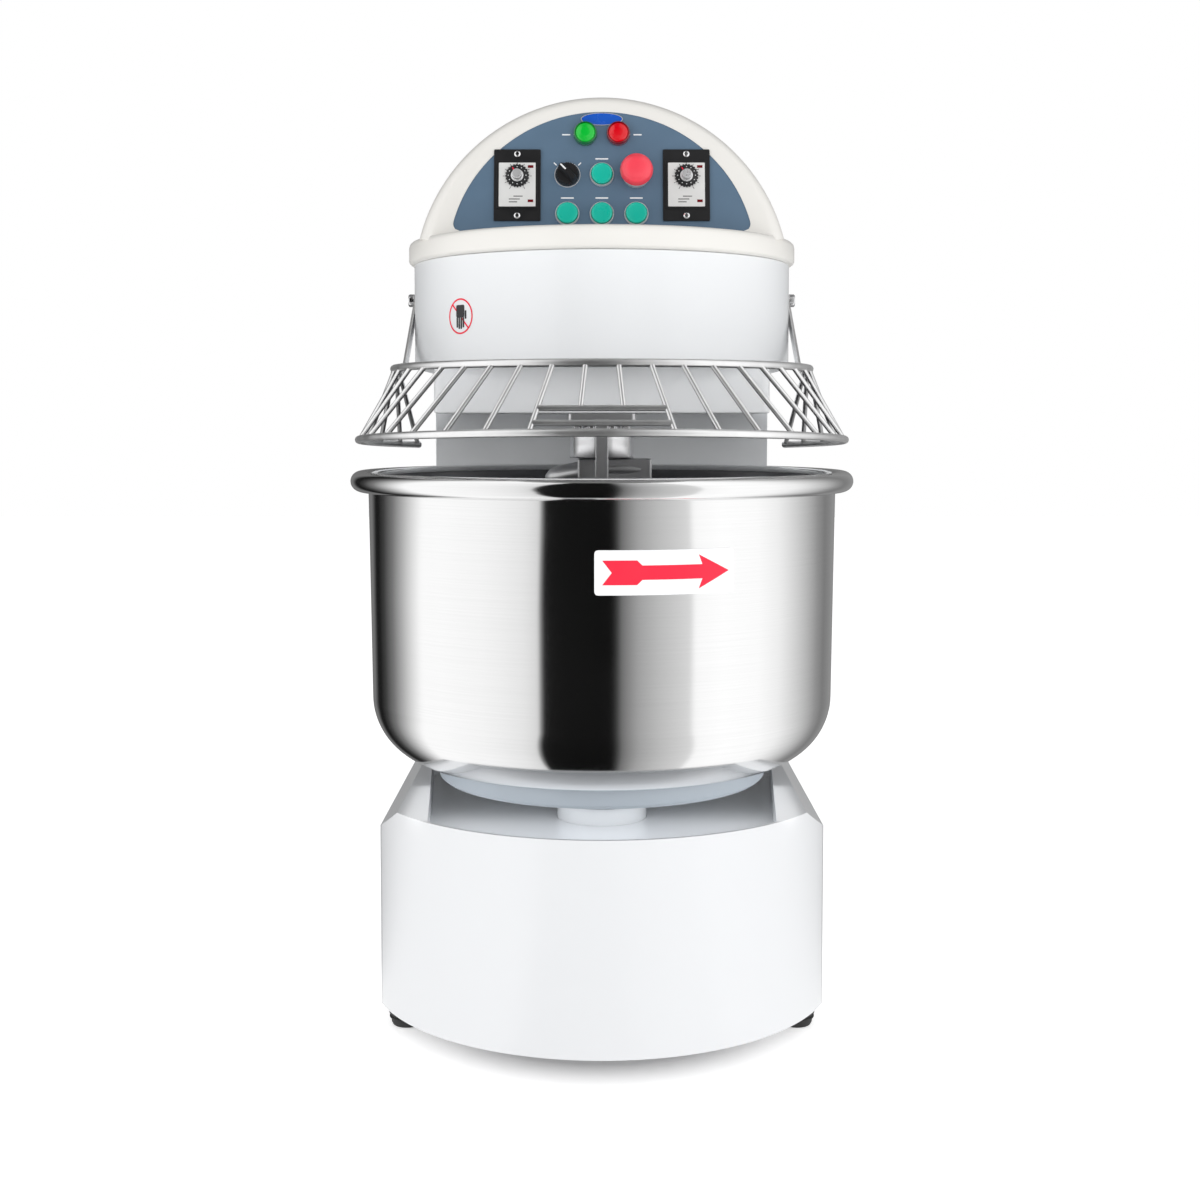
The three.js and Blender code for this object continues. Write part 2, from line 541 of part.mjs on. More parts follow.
function addDrive() {
  const { y, radius, bottom, top } = JACKSHAFT;
  addPart('jackshaft', disc(radius, bottom, top, 14), STEEL, mixer, 0, y);
  for (const [name, size, belt] of [['jackshaft_lower_pulley', LOWER_BELT.driven, LOWER_BELT],
    ['jackshaft_upper_pulley', UPPER_BELT.driver, UPPER_BELT]]) {
    addPart(name, ring(radius + GAP, size, belt.bottom, belt.top, 24), CAST, mixer, 0, y);
  }
  addBelt('upper_belt', SPIRAL_Y, UPPER_BELT.driven, y, UPPER_BELT.driver, UPPER_BELT);
  addBelt('lower_belt', y, LOWER_BELT.driven, MOTOR.y, LOWER_BELT.driver, LOWER_BELT);

  addPart('motor', disc(MOTOR.radius, MOTOR.bottom, MOTOR.top, 24), CAST, mixer, 0, MOTOR.y);
  const pulley = turned([[0, LOWER_BELT.bottom], [LOWER_BELT.driver, LOWER_BELT.bottom],
    [LOWER_BELT.driver, LOWER_BELT.top], [MOTOR.shaft, LOWER_BELT.top], [MOTOR.shaft, MOTOR.bottom - 1],
    [0, MOTOR.bottom - 1]], 20);
  addPart('motor_pulley', pulley, CAST, mixer, 0, MOTOR.y);
}

// ---- guard ------------------------------------------------------------------------------------

// A point on a guard ring; the angle is in degrees from straight ahead, positive to the right
function onTopRing(degrees) {
  const angle = THREE.MathUtils.degToRad(degrees);
  return new THREE.Vector3(GUARD_TOP.radius * Math.sin(angle), BOWL_Y - GUARD_TOP.radius * Math.cos(angle),
    GUARD_TOP.z);
}

function onRim(degrees) {
  const angle = THREE.MathUtils.degToRad(degrees);
  const fall = (1 - Math.cos(angle)) / (1 - Math.cos(THREE.MathUtils.degToRad(GUARD_RIM.end)));
  return new THREE.Vector3(GUARD_RIM.radius * Math.sin(angle), BOWL_Y - GUARD_RIM.radius * Math.cos(angle),
    THREE.MathUtils.lerp(GUARD_RIM.frontZ, GUARD_RIM.rearZ, fall));
}

class GuardRing extends THREE.Curve {
  constructor(pointAt, end) {
    super();
    this.pointAt = pointAt;
    this.end = end;
  }

  getPoint(t, target = new THREE.Vector3()) {
    return target.copy(this.pointAt(THREE.MathUtils.lerp(-this.end, this.end, t)));
  }
}

function addGuard() {
  const { radius, first, pitch, count, spread } = GUARD_BARS;
  const rod = (from, to, thickness = radius) => tube(new THREE.LineCurve3(from, to), thickness, 1, 5);
  const pieces = [
    tube(new GuardRing(onTopRing, GUARD_TOP.end), GUARD_TOP.tube, 32, 6),
    tube(new GuardRing(onRim, GUARD_RIM.end), GUARD_RIM.tube, 38, 6),
  ];
  const alongBar = (sign, drop) => {
    const degrees = sign * (first + pitch);
    return onTopRing(degrees).lerp(onRim(degrees * spread), drop);
  };
  for (const sign of [-1, 1]) {
    for (let i = 1; i < count; i += 1) {
      const degrees = sign * (first + pitch * i);
      pieces.push(rod(onTopRing(degrees), onRim(degrees * spread)));
    }
    pieces.push(rod(onTopRing(sign * (GUARD_TOP.end - 0.5)), onRim(sign * (GUARD_RIM.end - 0.5))));
    const foot = alongBar(-1, HANDLE_DROPS[0]).lerp(alongBar(1, HANDLE_DROPS[0]), 0.5 + sign / 6);
    pieces.push(rod(onTopRing(sign * first), foot));
  }
  for (const drop of HANDLE_DROPS) pieces.push(rod(alongBar(-1, drop), alongBar(1, drop), radius + 0.5));
  addPart('guard', wasm.Manifold.union(pieces), STEEL);

  const ringEnd = onTopRing(GUARD_TOP.end);
  const outline = beltOutline(PIVOT.y, PIVOT.z, ARM.halfWidth, ringEnd.y, ringEnd.z, ARM.halfWidth - 1);
  outline.holes.push(circleHole(PIVOT.y, PIVOT.z, ARM.hole));
  const { shank, shoulder, head: headRadius, length } = PIVOT;
  const bolt = turned([[0, 0], [shank, 0], [shank, shoulder], [headRadius, shoulder],
    [headRadius, length - 1], [headRadius - 1, length], [0, length]], 12);
  for (const [side, sign] of [['left', -1], ['right', 1]]) {
    const near = sign * ARM.inner;
    const far = sign * (ARM.inner + ARM.thickness);
    addPart(`guard_arm_${side}`, sideView(outline, Math.min(near, far), Math.max(near, far)), STEEL);
    const head = sign * (HEAD.halfWidth + GAP);
    addPart(`guard_pivot_${side}`, bolt.rotate([0, sign * 90, 0]), CHROME, mixer, head, PIVOT.y, PIVOT.z);
  }
}

addBase();
addColumn();
addHead();
addTopCover();
addPanel();
addBowl();
addBowlDrive();
addSpiral();
addBreakerBar();
addDrive();
addGuard();

export default mixer;
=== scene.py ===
"""Looks of the spiral dough mixer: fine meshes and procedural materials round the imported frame."""
import json
import math

import bmesh
import bpy
from mathutils import Matrix, Vector

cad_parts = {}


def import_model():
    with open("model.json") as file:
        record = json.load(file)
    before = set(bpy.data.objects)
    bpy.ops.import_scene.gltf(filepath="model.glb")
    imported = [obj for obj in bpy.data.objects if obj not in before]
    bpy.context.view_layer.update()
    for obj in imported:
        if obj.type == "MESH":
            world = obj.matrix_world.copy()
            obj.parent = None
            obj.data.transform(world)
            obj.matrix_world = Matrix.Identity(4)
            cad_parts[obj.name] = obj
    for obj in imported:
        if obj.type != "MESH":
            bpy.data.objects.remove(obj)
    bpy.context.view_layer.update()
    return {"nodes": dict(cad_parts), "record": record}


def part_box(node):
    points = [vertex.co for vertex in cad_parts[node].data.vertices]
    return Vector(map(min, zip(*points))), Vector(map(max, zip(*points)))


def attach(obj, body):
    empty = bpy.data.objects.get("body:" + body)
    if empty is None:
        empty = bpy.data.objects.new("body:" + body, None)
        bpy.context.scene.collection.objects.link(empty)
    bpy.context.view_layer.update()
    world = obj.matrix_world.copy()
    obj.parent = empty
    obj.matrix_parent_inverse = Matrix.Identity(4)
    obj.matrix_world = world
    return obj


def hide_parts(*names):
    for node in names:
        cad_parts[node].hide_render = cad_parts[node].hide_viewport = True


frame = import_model()

# ---- driving sizes: pieces are laid out in millimetres, and UNIT turns them into metres ----

UNIT = 0.001
TAU = 2 * math.pi


def extent(node):
    """Lowest and highest corner of a CAD node, in millimetres."""
    low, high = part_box(node)
    return low / UNIT, high / UNIT


def middle(node):
    low, high = extent(node)
    return (low + high) / 2


BOWL_LOW, BOWL_HIGH = extent("bowl")
BASE_LOW, BASE_HIGH = extent("base_shell")
COLUMN_LOW, COLUMN_HIGH = extent("column_shell")
HEAD_LOW, HEAD_HIGH = extent("head_shell")
COVER_LOW, COVER_HIGH = extent("top_cover")
HOUSING_LOW, HOUSING_HIGH = extent("spiral_housing")
CARRIER_LOW, CARRIER_HIGH = extent("bowl_carrier")
BOWL_Y = middle("bowl").y
SPIRAL_Y = middle("spiral_shaft").y
REAR_Y = BASE_HIGH.y
WALL = 4
DECK_TOP = 212
BASE_RADIUS = 249
BASE_CHAMFER = 24
COLUMN_RADIUS = 290
HEAD_RADIUS, HEAD_CENTRE_Y = 215, BOWL_Y + 129
LEDGE_RADIUS, LEDGE_TOP = 221, 846
VAULT_RADIUS, VAULT_CENTRE_Z, VAULT_Y = 205, 795, BOWL_Y + 14
LEAN = math.radians(10)
PANEL_RADIUS, PANEL_CENTRE, PANEL_FOOT = 172, -28.5, 3
BOWL_WALL_RADIUS, BOWL_FLOOR_RADIUS, BOWL_FILLET, BOWL_WALL = 251, 177, 71, 2.5
ROLL_SECTION = 10.7
GUARD_TOP_RADIUS, GUARD_TOP_Z, GUARD_TOP_END = 223.2, 700, 96
GUARD_RIM_RADIUS, GUARD_RIM_FRONT, GUARD_RIM_REAR, GUARD_RIM_END = 261, 634, 617, 124.7
HANDLE_DROPS = (0.65, 0.86)
LIP_WIDTH, LIP_CORNER = 5, 12
SLEEVE_HOLE = 49.6
BADGE_WIDTH, BADGE_HEIGHT, BADGE_Y = 46, 14.4, 130.5
ROUNDEL_RADIUS, ROUNDEL_BAND, ROUNDEL_Z, ROUNDEL_TURN = 19, 1.7, 756, math.radians(-44.5)
HOOK_TOP, HOOK_BOTTOM, HOOK_BAR, HOOK_STUB = 588, 308, 13.0, 50
HOOK_START, HOOK_WIDE, HOOK_END, HOOK_TURNS = 52, 84, 68, 1.25
BUTTONS = ("start", "fast", "slow", "inching")

# Slots of the materials that are not named after their slot
SLOTS = {
    "base_white_painted_shade": "white_paint", "housing_white_painted_light": "white_paint", "carrier_white_painted_shade": "white_paint",
    "cover_white": "cover_moulding", "slate_overlay": "panel_blue", "badge_blue": "panel_blue",
    "satin_metal": "chrome", "teal_cap": "teal_plastic", "green_rim": "green_lens",
    "red_rim": "red_lens", "indicator": "red_lens", "hub_steel": "tool_steel",
    "label_face": "black_plastic", "white_mark": "black_plastic",
}


# ---- mesh helpers: every builder returns (points, faces) in millimetres ----

def arc(cx, cy, radius, start, end, steps):
    """Points of an arc, from start to end degrees."""
    angles = [math.radians(start + (end - start) * i / steps) for i in range(steps + 1)]
    return [(cx + radius * math.cos(a), cy + radius * math.sin(a)) for a in angles]


def rounded(points, radius, closed=False, steps=4):
    """The outline with its corners turned into small arcs."""
    result = []
    count = len(points)
    for i, corner in enumerate(points):
        if not closed and i in (0, count - 1):
            result.append(corner)
            continue
        here = Vector(corner)
        before = Vector(points[i - 1]) - here
        after = Vector(points[(i + 1) % count]) - here
        opening = before.angle(after)
        reach = min(radius / math.tan(opening / 2), before.length * 0.45, after.length * 0.45)
        start, end = here + before.normalized() * reach, here + after.normalized() * reach
        for k in range(steps + 1):
            t = k / steps
            point = start.lerp(here, t).lerp(here.lerp(end, t), t)
            result.append((point.x, point.y))
    return result


def turned(profile, segments=64, centre=(0, 0, 0), closed=False):
    """A turned form about a vertical axis, from (radius, height) points, up along its outside."""
    cx, cy, cz = centre
    points, rings = [], []
    for radius, height in profile:
        if radius < 1e-6:
            rings.append([len(points)] * segments)
            points.append((cx, cy, cz + height))
            continue
        rings.append(list(range(len(points), len(points) + segments)))
        for k in range(segments):
            angle = TAU * k / segments
            points.append((cx + radius * math.cos(angle), cy + radius * math.sin(angle), cz + height))
    pairs = list(zip(rings, rings[1:])) + ([(rings[-1], rings[0])] if closed else [])
    faces = []
    for low, high in pairs:
        for k in range(segments):
            n = (k + 1) % segments
            face = list(dict.fromkeys([low[k], low[n], high[n], high[k]]))
            if len(face) > 2:
                faces.append(face)
    return points, faces


def loft(loops, capped=True):
    """Closed loops of equal length, joined in order and closed at both ends."""
    count = len(loops[0])
    points = [p for loop in loops for p in loop]
    faces = []
    for row in range(len(loops) - 1):
        base = row * count
        for k in range(count):
            n = (k + 1) % count
            faces.append([base + k, base + n, base + count + n, base + count + k])
    if capped:
        faces.append(list(range(count))[::-1])
        faces.append(list(range(len(points) - count, len(points))))
    return points, faces


def prism(outline, low, high):
    return loft([[(x, y, low) for x, y in outline], [(x, y, high) for x, y in outline]])


def plug(radius, low, high, segments, centre=(0, 0, 0)):
    return turned([(0, low), (radius, low), (radius, high), (0, high)], segments, centre)


def ellipse(width, height, count):
    """Points of an ellipse with these half axes; count 6 and equal axes give a hexagon."""
    return [(width * math.cos(TAU * k / count), height * math.sin(TAU * k / count)) for k in range(count)]


def shell(outer, inner, low, high):
    """A wall between two outlines of equal length, open at its top and bottom."""
    loops = [[(x, y, z) for x, y in outline] for outline, z in
             ((outer, low), (outer, high), (inner, high), (inner, low), (outer, low))]
    points, faces = loft(loops, capped=False)
    count = len(outer)
    last = 4 * count
    return points[:last], [[p - last if p >= last else p for p in face] for face in faces]


def swept(path, radius, sides):
    """A tube along a path of Vectors; radius is a number or one value for each point."""
    radii = radius if isinstance(radius, list) else [radius] * len(path)
    last = len(path) - 1
    tangents = [(path[min(i + 1, last)] - path[max(i - 1, 0)]).normalized() for i in range(len(path))]
    across = tangents[0].orthogonal().normalized()
    loops = []
    for point, tangent, size in zip(path, tangents, radii):
        across = (across - tangent * across.dot(tangent)).normalized()
        up = tangent.cross(across)
        turns = [TAU * k / sides for k in range(sides)]
        loops.append([tuple(point + (across * math.cos(t) + up * math.sin(t)) * size) for t in turns])
    return loft(loops)


def moved(data, matrix):
    points, faces = data
    return [tuple(matrix @ Vector(p)) for p in points], faces


def at(x, y, z):
    return Matrix.Translation((x, y, z))


def spin(degrees, axis="Z"):
    return Matrix.Rotation(math.radians(degrees), 4, axis)


def polar(radius, degrees):
    return radius * math.cos(math.radians(degrees)), radius * math.sin(math.radians(degrees))


def joined(*parts):
    points, faces = [], []
    for more_points, more_faces in parts:
        faces += [[index + len(points) for index in face] for face in more_faces]
        points += more_points
    return points, faces


def rectangle(left, right, low, high):
    return [(left, low), (right, low), (right, high), (left, high)]


def mesh_object(name, data):
    points, faces = data
    mesh = bpy.data.meshes.new(name)
    mesh.from_pydata([Vector(p) * UNIT for p in points], [], faces)
    form = bmesh.new()
    form.from_mesh(mesh)
    bmesh.ops.recalc_face_normals(form, faces=form.faces)
    form.to_mesh(mesh)
    form.free()
    made = bpy.data.objects.new(name, mesh)
    bpy.context.scene.collection.objects.link(made)
    return made


def baked(made):
    """Replaces the object's mesh by its modified mesh."""
    graph = bpy.context.evaluated_depsgraph_get()
    mesh = bpy.data.meshes.new_from_object(made.evaluated_get(graph))
    made.modifiers.clear()
    made.data = mesh


def piece(name, data, material, replaces=(), body="frame", slot=None, bevel=0, cuts=(), sharp=38):
    """A finished piece: booleans, rounded edges, smooth shading, material and body."""
    kind = material.name.split(".")[0]
    slot = slot or SLOTS.get(kind, kind)
    made = mesh_object(name, data)
    cutters = [mesh_object(f"{name}_cutter", cut) for cut in cuts]
    for cutter in cutters:
        boolean = made.modifiers.new("cut", "BOOLEAN")
        boolean.object, boolean.operation, boolean.solver = cutter, "DIFFERENCE", "EXACT"
    if bevel:
        edge = made.modifiers.new("edge", "BEVEL")
        edge.width, edge.segments = bevel * UNIT, 3 if bevel >= 1 else 2
        edge.limit_method, edge.angle_limit = "ANGLE", math.radians(32)
    if cutters or bevel:
        baked(made)
    for cutter in cutters:
        bpy.data.objects.remove(cutter)
    made.data.polygons.foreach_set("use_smooth", [True] * len(made.data.polygons))
    made.data.set_sharp_from_angle(angle=math.radians(sharp))
    if bevel:
        weighted = made.modifiers.new("weighted", "WEIGHTED_NORMAL")
        weighted.keep_sharp = True
    made.data.materials.clear()
    made.data.materials.append(material)
    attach(made, body)
    if replaces:
        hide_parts(*([replaces] if isinstance(replaces, str) else replaces))
    return made


# ---- materials ----

def add_node(tree, kind, inputs=None, **settings):
    """A new node; each input is a number, a colour, or a socket to link it to."""
    made = tree.nodes.new(kind)
    for key, value in settings.items():
        setattr(made, key, value)
    for socket, value in (inputs or {}).items():
        if isinstance(value, bpy.types.NodeSocket):
            tree.links.new(value, made.inputs[socket])
        else:
            made.inputs[socket].default_value = value
    return made


class Surface:
    """A Principled material whose colour, roughness and bump grow from object-space noise."""

    def __init__(self, name, color, roughness, metallic=0.0, **sockets):
        self.material = bpy.data.materials.new(name)
        self.material.use_nodes = True
        self.tree = self.material.node_tree
        self.shader = self.tree.nodes["Principled BSDF"]
        self.color = (*color, 1.0)
        self.shader.inputs["Base Color"].default_value = self.color
        settings = {"Roughness": roughness, "Metallic": metallic, **sockets}
        for socket, value in settings.items():
            self.shader.inputs[socket.replace("_", " ")].default_value = value
        self.normal = None

    def node(self, kind, inputs=None, **settings):
        return add_node(self.tree, kind, inputs, **settings)

    def place(self, stretch=(1, 1, 1), around=None):
        """Object coordinates, or (turn, radius, height) round a vertical axis at (x, y) metres."""
        where = self.node("ShaderNodeTexCoord").outputs["Object"]
        if around is not None:
            shifted = self.node("ShaderNodeVectorMath", {0: where, 1: (around[0], around[1], 0)},
                                operation="SUBTRACT").outputs[0]
            parts = self.node("ShaderNodeSeparateXYZ", {0: shifted}).outputs
            turn = self.node("ShaderNodeMath", {0: parts["Y"], 1: parts["X"]}, operation="ARCTAN2").outputs[0]
            flat = self.node("ShaderNodeVectorMath", {0: shifted, 1: (1, 1, 0)},
                             operation="MULTIPLY").outputs[0]
            radius = self.node("ShaderNodeVectorMath", {0: flat}, operation="LENGTH").outputs["Value"]
            where = self.node("ShaderNodeCombineXYZ", {"X": turn, "Y": radius, "Z": parts["Z"]}).outputs[0]
        return self.node("ShaderNodeVectorMath", {0: where, 1: stretch}, operation="MULTIPLY").outputs[0]

    def noise(self, scale, detail=4.0, stretch=(1, 1, 1), around=None, roughness=0.55):
        where = self.place(stretch, around)
        return self.node("ShaderNodeTexNoise", {"Vector": where, "Scale": scale, "Detail": detail,
                                                "Roughness": roughness}).outputs["Fac"]

    def vary_color(self, pattern, spread, low=0.35, high=0.65):
        """Colour from a little darker to a little lighter than the base, along the pattern."""
        ramp = self.node("ShaderNodeValToRGB", {"Fac": pattern})
        ends = ramp.color_ramp.elements
        ends[0].position, ends[1].position = low, high
        ends[0].color = (*[c * (1 - spread) for c in self.color[:3]], 1)
        ends[1].color = (*[min(1, c * (1 + spread)) for c in self.color[:3]], 1)
        self.tree.links.new(ramp.outputs["Color"], self.shader.inputs["Base Color"])
        return self

    def vary_roughness(self, pattern, low, high):
        span = self.node("ShaderNodeMapRange", {"Value": pattern, "From Min": 0.3, "From Max": 0.7,
                                                "To Min": low, "To Max": high})
        self.tree.links.new(span.outputs["Result"], self.shader.inputs["Roughness"])
        return self

    def bump(self, pattern, strength, distance):
        inputs = {"Height": pattern, "Strength": strength, "Distance": distance}
        if self.normal is not None:
            inputs["Normal"] = self.normal
        self.normal = self.node("ShaderNodeBump", inputs).outputs["Normal"]
        self.tree.links.new(self.normal, self.shader.inputs["Normal"])
        return self

    def brushed_around(self):
        tangent = self.node("ShaderNodeTangent", direction_type="RADIAL", axis="Z").outputs[0]
        self.tree.links.new(tangent, self.shader.inputs["Tangent"])
        self.shader.inputs["Anisotropic Rotation"].default_value = 0.25
        return self


def paint(name, color, roughness=0.29, coat=0.35):
    """Powder coat: a faint orange peel under a clear gloss, with slow changes of tone."""
    made = Surface(name, color, roughness, Coat_Weight=coat, Coat_Roughness=0.12)
    made.vary_color(made.noise(4, 1), 0.003, low=0.1, high=0.9)
    made.vary_roughness(made.noise(9, 2), roughness, roughness + 0.015)
    made.bump(made.noise(150, 1), 0.012, 0.0002)
    return made.material


def steel(name, color, roughness, around=None, grain=(1.2, 60, 900), anisotropic=0.0, strength=0.05):
    """Stainless steel with a fine grain; the grain runs round the axis where one is given."""
    made = Surface(name, color, roughness, 1.0, Anisotropic=anisotropic)
    stretch = grain if around is not None else (60, 60, 900)
    streaks = made.noise(1.0, 6, stretch, around, 0.7)
    cloud = made.noise(9, 4)
    made.vary_color(streaks, 0.018)
    made.vary_roughness(cloud, roughness - 0.015, roughness + 0.02)
    made.bump(streaks, strength, 0.00006)
    if around is not None and anisotropic:
        made.brushed_around()
    return made.material


def wire(name, color, roughness):
    made = Surface(name, color, roughness, 1.0)
    made.vary_color(made.noise(55, 5), 0.03)
    made.vary_roughness(made.noise(80, 4), roughness - 0.03, roughness + 0.05)
    made.bump(made.noise(900, 2), 0.02, 0.00002)
    return made.material


def plastic(name, color, roughness, grain=700, strength=0.08, **sockets):
    made = Surface(name, color, roughness, 0.0, **sockets)
    made.vary_color(made.noise(30, 3), 0.03)
    made.vary_roughness(made.noise(90, 4), max(0.03, roughness - 0.05), roughness + 0.06)
    made.bump(made.noise(grain, 2), strength, 0.0001)
    return made.material


def casting(name, color):
    made = Surface(name, color, 0.5, 0.35)
    made.vary_color(made.noise(22, 5), 0.16)
    made.vary_roughness(made.noise(60, 4), 0.42, 0.68)
    made.bump(made.noise(260, 5), 0.35, 0.0004)
    return made.material


BOWL_AXIS = (0.0, BOWL_Y * UNIT)
SPIRAL_AXIS = (0.0, SPIRAL_Y * UNIT)
WHITE = paint("white_paint", (0.80, 0.815, 0.83))
# Darker copy of the white paint for the base: painted shade
BASE_WHITE_PAINTED_SHADE = paint("base_white_painted_shade", (0.725, 0.735, 0.75))
# Lighter copy of the white paint for the column and spiral box: painted light under the head's overhang
HOUSING_WHITE_PAINTED_LIGHT = paint("housing_white_painted_light", (0.92, 0.935, 0.95))
# The carrier's own bluish white, darkened as painted shade under the bowl
CARRIER_WHITE_PAINTED_SHADE = paint("carrier_white_painted_shade", (0.50, 0.56, 0.62), 0.34, 0.2)
COVER_WHITE = paint("cover_white", (0.80, 0.785, 0.75), 0.32, 0.2)
SLATE = plastic("slate_overlay", (0.098, 0.165, 0.245), 0.42, 1400, 0.12, Coat_Weight=0.15)
BOWL_STEEL = steel("bowl_steel", (0.80, 0.80, 0.80), 0.10, BOWL_AXIS, anisotropic=0.6)
# Darker copy of the bowl steel for its inside: painted shade
BOWL_INSIDE_PAINTED_SHADE = steel("bowl_inside_painted_shade", (0.24, 0.24, 0.25), 0.36, BOWL_AXIS, anisotropic=0.6)
BADGE_BLUE = plastic("badge_blue", (0.01, 0.10, 0.55), 0.25, Coat_Weight=0.5)
TOOL_STEEL = steel("tool_steel", (0.78, 0.78, 0.79), 0.36)
HUB_STEEL = steel("hub_steel", (0.80, 0.80, 0.81), 0.17, SPIRAL_AXIS, (2, 80, 1400), 0.3)
WIRE_STEEL = wire("wire_steel", (0.84, 0.84, 0.84), 0.34)
CHROME = wire("chrome", (0.85, 0.85, 0.86), 0.14)
SATIN = plastic("satin_metal", (0.72, 0.72, 0.73), 0.30)
SATIN.node_tree.nodes["Principled BSDF"].inputs["Metallic"].default_value = 0.55
CAST = casting("machine_enamel", (0.12, 0.135, 0.15))
BLACK = plastic("black_plastic", (0.012, 0.012, 0.013), 0.38)
RUBBER = plastic("black_rubber", (0.02, 0.02, 0.02), 0.72, 380, 0.35)
TEAL = plastic("teal_cap", (0.0, 0.50, 0.37), 0.30, 1200, 0.05, Coat_Weight=0.3)
GREEN = plastic("green_lens", (0.0, 0.50, 0.035), 0.22, 1200, 0.05, Coat_Weight=0.6)
DARK_GREEN = plastic("green_rim", (0.0, 0.14, 0.03), 0.15, 1200, 0.03, Coat_Weight=0.8)
RED = plastic("red_lens", (0.68, 0.0, 0.008), 0.22, 1200, 0.05, Coat_Weight=0.6)
DARK_RED = plastic("red_rim", (0.18, 0.0, 0.006), 0.15, 1200, 0.03, Coat_Weight=0.8)
ESTOP_RED = plastic("estop_red", (0.92, 0.055, 0.09), 0.34, 1200, 0.05, Coat_Weight=0.25)
MARK = plastic("white_mark", (0.86, 0.87, 0.88), 0.4)
ARROW_RED = plastic("arrow_red", (0.86, 0.0, 0.035), 0.42)
LABEL_FACE = plastic("label_face", (0.70, 0.70, 0.69), 0.38)
INDICATOR = plastic("indicator", (0.16, 0.005, 0.01), 0.25)


# ---- base and feet ----

def round_front(half_width, radius, centre_y, inset=0, corner=0):
    """Plan with a straight back, parallel sides and a round front; corner rounds the back corners."""
    half_width, radius, back = half_width - inset, radius - inset, REAR_Y - inset
    edge = math.degrees(math.asin(half_width / radius))
    back_corners = rounded([(half_width, centre_y), (half_width, back), (-half_width, back),
                            (-half_width, centre_y)], corner or 0.5)[1:-1]
    return back_corners + arc(0, centre_y, radius, -90 - edge, -90 + edge, 96)


def front_view(outline, front, back):
    """An outline in (x, z), run from front to back."""
    return loft([[(x, front, z) for x, z in outline], [(x, back, z) for x, z in outline]])


def well_plan():
    """Plan of the sunken well: round in front, and up to the column's concave front behind."""
    return arc(0, BOWL_Y, BASE_RADIUS - WALL, -135, -45, 64) + arc(0, BOWL_Y, COLUMN_RADIUS, 45, 135, 64)


def base():
    half = BASE_HIGH.x
    bottom, top = BASE_LOW.z, BASE_HIGH.z
    outside = prism(round_front(half, BASE_RADIUS, BOWL_Y, corner=5), bottom, top)
    shoulders = []
    for sign in (-1, 1):
        corner = [(sign * (half - BASE_CHAMFER), top + 1), (sign * (half + 1), top - BASE_CHAMFER - 1),
                  (sign * (half + 9), top + 9)]
        shoulders.append(front_view(corner, BOWL_Y - 300, REAR_Y + 50))
    well = prism(well_plan(), DECK_TOP, top + 20)
    cavity = prism(round_front(half, BASE_RADIUS, BOWL_Y, WALL), bottom - 5, DECK_TOP - WALL)
    hole = plug(SLEEVE_HOLE, DECK_TOP - 20, DECK_TOP + 20, 96, (0, BOWL_Y, 0))
    # The base housing takes the darker copy of the white paint: painted shade
    piece("base_housing", outside, BASE_WHITE_PAINTED_SHADE, "base_shell", bevel=1.4,
          cuts=[*shoulders, well, cavity, hole])


def foot(node, name):
    centre = middle(node)
    profile = rounded([(0, 0), (15.5, 0), (17.2, 3), (20.5, 27), (22, 29), (22, 34.4), (0, 34.4)], 1.2)
    ribs = [turned(rounded([(17.6 + k * 0.65, z), (19.4 + k * 0.62, z + 0.3), (19.4 + k * 0.62, z + 1.8),
                            (17.9 + k * 0.65, z + 2.1)], 0.4, True), 48, closed=True)
            for k, z in enumerate((8, 13, 18))]
    body = joined(turned(profile, 48), *ribs)
    piece(name, moved(body, at(centre.x, centre.y, 0)), RUBBER, node)


def screw(radius, height):
    """A pan head screw standing on z = 0, with a raised cross."""
    profile = [(0, 0), (radius, 0), (radius, height * 0.45), (radius * 0.55, height), (0, height)]
    head = turned(rounded(profile, radius * 0.25), 28)
    long, thin = radius * 0.6, radius * 0.1
    bars = [prism(rectangle(-x, x, -y, y), height * 0.75, height + 0.05)
            for x, y in ((long, thin), (thin, long))]
    return joined(head, *bars)


# ---- column, head and cover ----

def column():
    half = COLUMN_HIGH.x
    back = COLUMN_HIGH.y
    low, high = COLUMN_LOW.z, COLUMN_HIGH.z

    def front(half_width, radius):
        edge = math.degrees(math.acos(half_width / radius))
        return arc(0, BOWL_Y, radius, 180 - edge, edge, 72)

    outer = [(half, back)] + front(half, COLUMN_RADIUS)[::-1] + [(-half, back)]
    inner = [(WALL - half, back)] + front(half - WALL, COLUMN_RADIUS + WALL) + [(half - WALL, back)]
    # The column housing takes the lighter copy of the white paint: painted light in the head's shadow
    piece("column_housing", prism((outer + inner)[::-1], low, high), HOUSING_WHITE_PAINTED_LIGHT, "column_shell",
          bevel=1.5)

    edge = math.degrees(math.acos((half - WALL) / COLUMN_RADIUS))
    skirt = arc(0, BOWL_Y, COLUMN_RADIUS - 1, edge, 180 - edge, 72)
    skirt += arc(0, BOWL_Y, COLUMN_RADIUS - 3, 180 - edge, edge, 72)
    skirt_low, skirt_high = extent("column_foot_skirt")
    # The black band at the column's foot is painted shade, standing in for the dark opening there
    piece("column_foot_shade_band", prism(skirt, skirt_low.z, skirt_high.z), BLACK, "column_foot_skirt", bevel=0.5)


